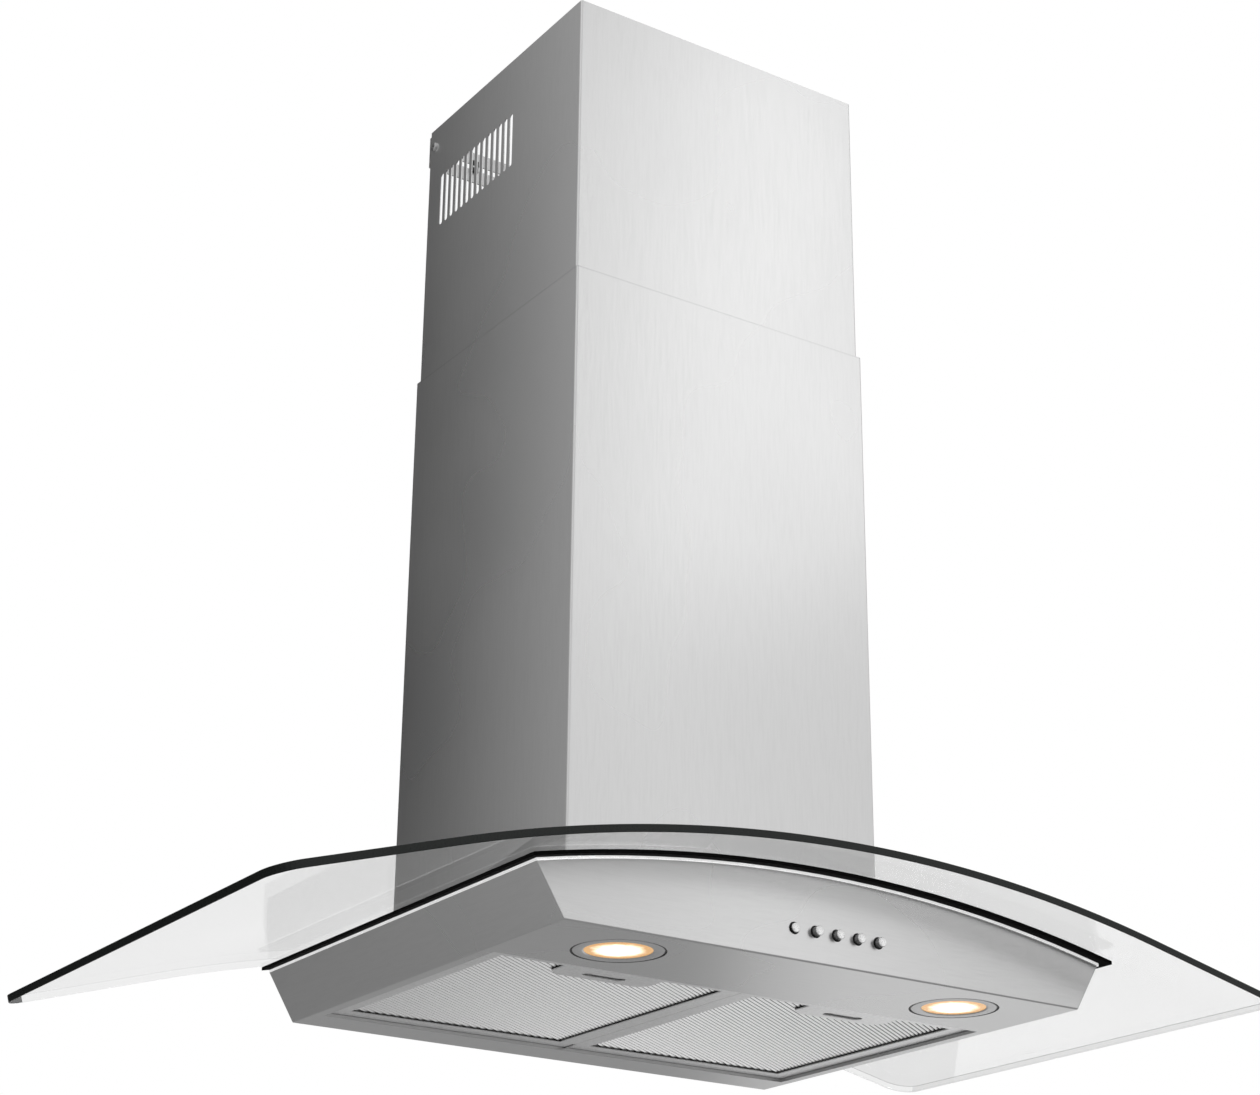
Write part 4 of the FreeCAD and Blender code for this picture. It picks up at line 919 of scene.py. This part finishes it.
# top edge of the lower chimney, where painted shade stands in for the seam's contact shadow
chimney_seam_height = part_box("lower_chimney")[1].z
lower_steel = brushed_steel("LowerBrushedSteel", (0, 0, 1), (0, 0, 1), chimney_seam_height)
level_steel = brushed_steel("LevelBrushedSteel", (1, 0, 0), (0, 1, 0))
bezel_steel = plated("BezelSteel", 0.60, 0.38, 600.0)
zinc = plated("ZincSteel", 0.5, 0.38)
bright = bright_edge()
dull_plate = plated("PlatedScrew", 0.45, 0.32, 900.0)
ground_steel = plated("GroundSteel", 0.6, 0.22, 700.0)
filter_alu = plated("FilterAluminium", 0.84, 0.36, 500.0)
strand_alu = plated("StrandAluminium", 0.93, 0.38, 900.0)
# painted shade: a near-black sheet stands in for the shadowed inside of the layered filter mesh
shade_sheet_metal = plated("ShadeSheet", 0.03, 0.6, 400.0)
black_plastic = plastic("BlackPlastic", (0.02, 0.02, 0.021))
grey_plastic = plastic("GreyPlastic", (0.16, 0.165, 0.17))
white_plastic = plastic("WhitePlastic", (0.70, 0.70, 0.68), 0.4)
ceramic = plastic("Ceramic", (0.72, 0.69, 0.62), 0.25, 300.0)
enamel = plastic("MotorEnamel", (0.012, 0.012, 0.014), 0.35, 400.0)
rubber = plastic("SealRubber", (0.003, 0.003, 0.003), 0.8, shine=0.05)
lens = lamp_lens()
can = lamp_can()

FINISHES = (
    (upright_steel, 0.2 * MM, ("upper_chimney",)),
    (lower_steel, 0.2 * MM, ("lower_chimney",)),
    (level_steel, 0.2 * MM, ("hood_body",)),
    (bright, 0.3 * MM, ("lip_plate",)),
    (rubber, 0.3 * MM, ("canopy_seal", "canopy_pads")),
    (zinc, 0.15 * MM, ("back_panel", "upper_bracket", "wall_plate", "blower_box", "blower_cover",
                       "motor_bracket")),
    (white_plastic, 0.3 * MM, ("canopy_washers", "capacitor", "terminal_box", "terminal_lid")),
    (dull_plate, 0.2 * MM, ("canopy_nuts",)),
    (black_plastic, 0.2 * MM, ("bracket_spacers", "glide_strips", "cord_gland", "outlet_collar",
                               "damper_front", "damper_back", "button_guide", "switch_block")),
    (grey_plastic, 0.2 * MM, ("scroll_left", "scroll_right", "impeller")),
    (enamel, 0.5 * MM, ("motor",)),
    (ground_steel, 0.1 * MM, ("motor_shaft", "damper_pin", "filter_left_pins", "filter_right_pins")),
    (filter_alu, 0.2 * MM, ("filter_left_frame", "filter_left_latch", "filter_right_frame",
                            "filter_right_latch")),
    (can, 0.2 * MM, ("lamp_left_can", "lamp_right_can")),
    (lens, 0.2 * MM, ("lamp_left_bulb", "lamp_right_bulb")),
    (ceramic, 0.3 * MM, ("lamp_left_socket", "lamp_right_socket")),
)
for material, width, names in FINISHES:
    for name in names:
        dress(NODES[name], material, width)

glass_canopy(clear_glass(), painted_dark_glass_edge())
button_face = turned_metal("ButtonFace", 0.66, 0.95)
# painted shade: the button sides take a darker copy of the same turned aluminium
button_side_shaded = turned_metal("ButtonSideShaded", 0.16, 0.42)
for number in range(1, 6):
    push_button(number, button_face, button_side_shaded)
for side in ("left", "right"):
    filter_mesh(side, strand_alu, shade_sheet_metal)
    lamp(side, bezel_steel, lens)
screws("side_screws", "upper_chimney", 2.0 * MM, 2.4 * MM,
       lambda middle: Vector((math.copysign(1, middle.x), 0, 0)), dull_plate)
screws("cover_screws", "hood", 1.5 * MM, 1.2 * MM, lambda middle: Vector((0, -1, 0)), dull_plate)
screws("chimney_screws", "hood", 2.0 * MM, 2.0 * MM, lambda middle: Vector((0, -1, 0)), dull_plate)
screws("canopy_screws", "hood", 2.5 * MM, 2.6 * MM, away_from_arch, dull_plate)
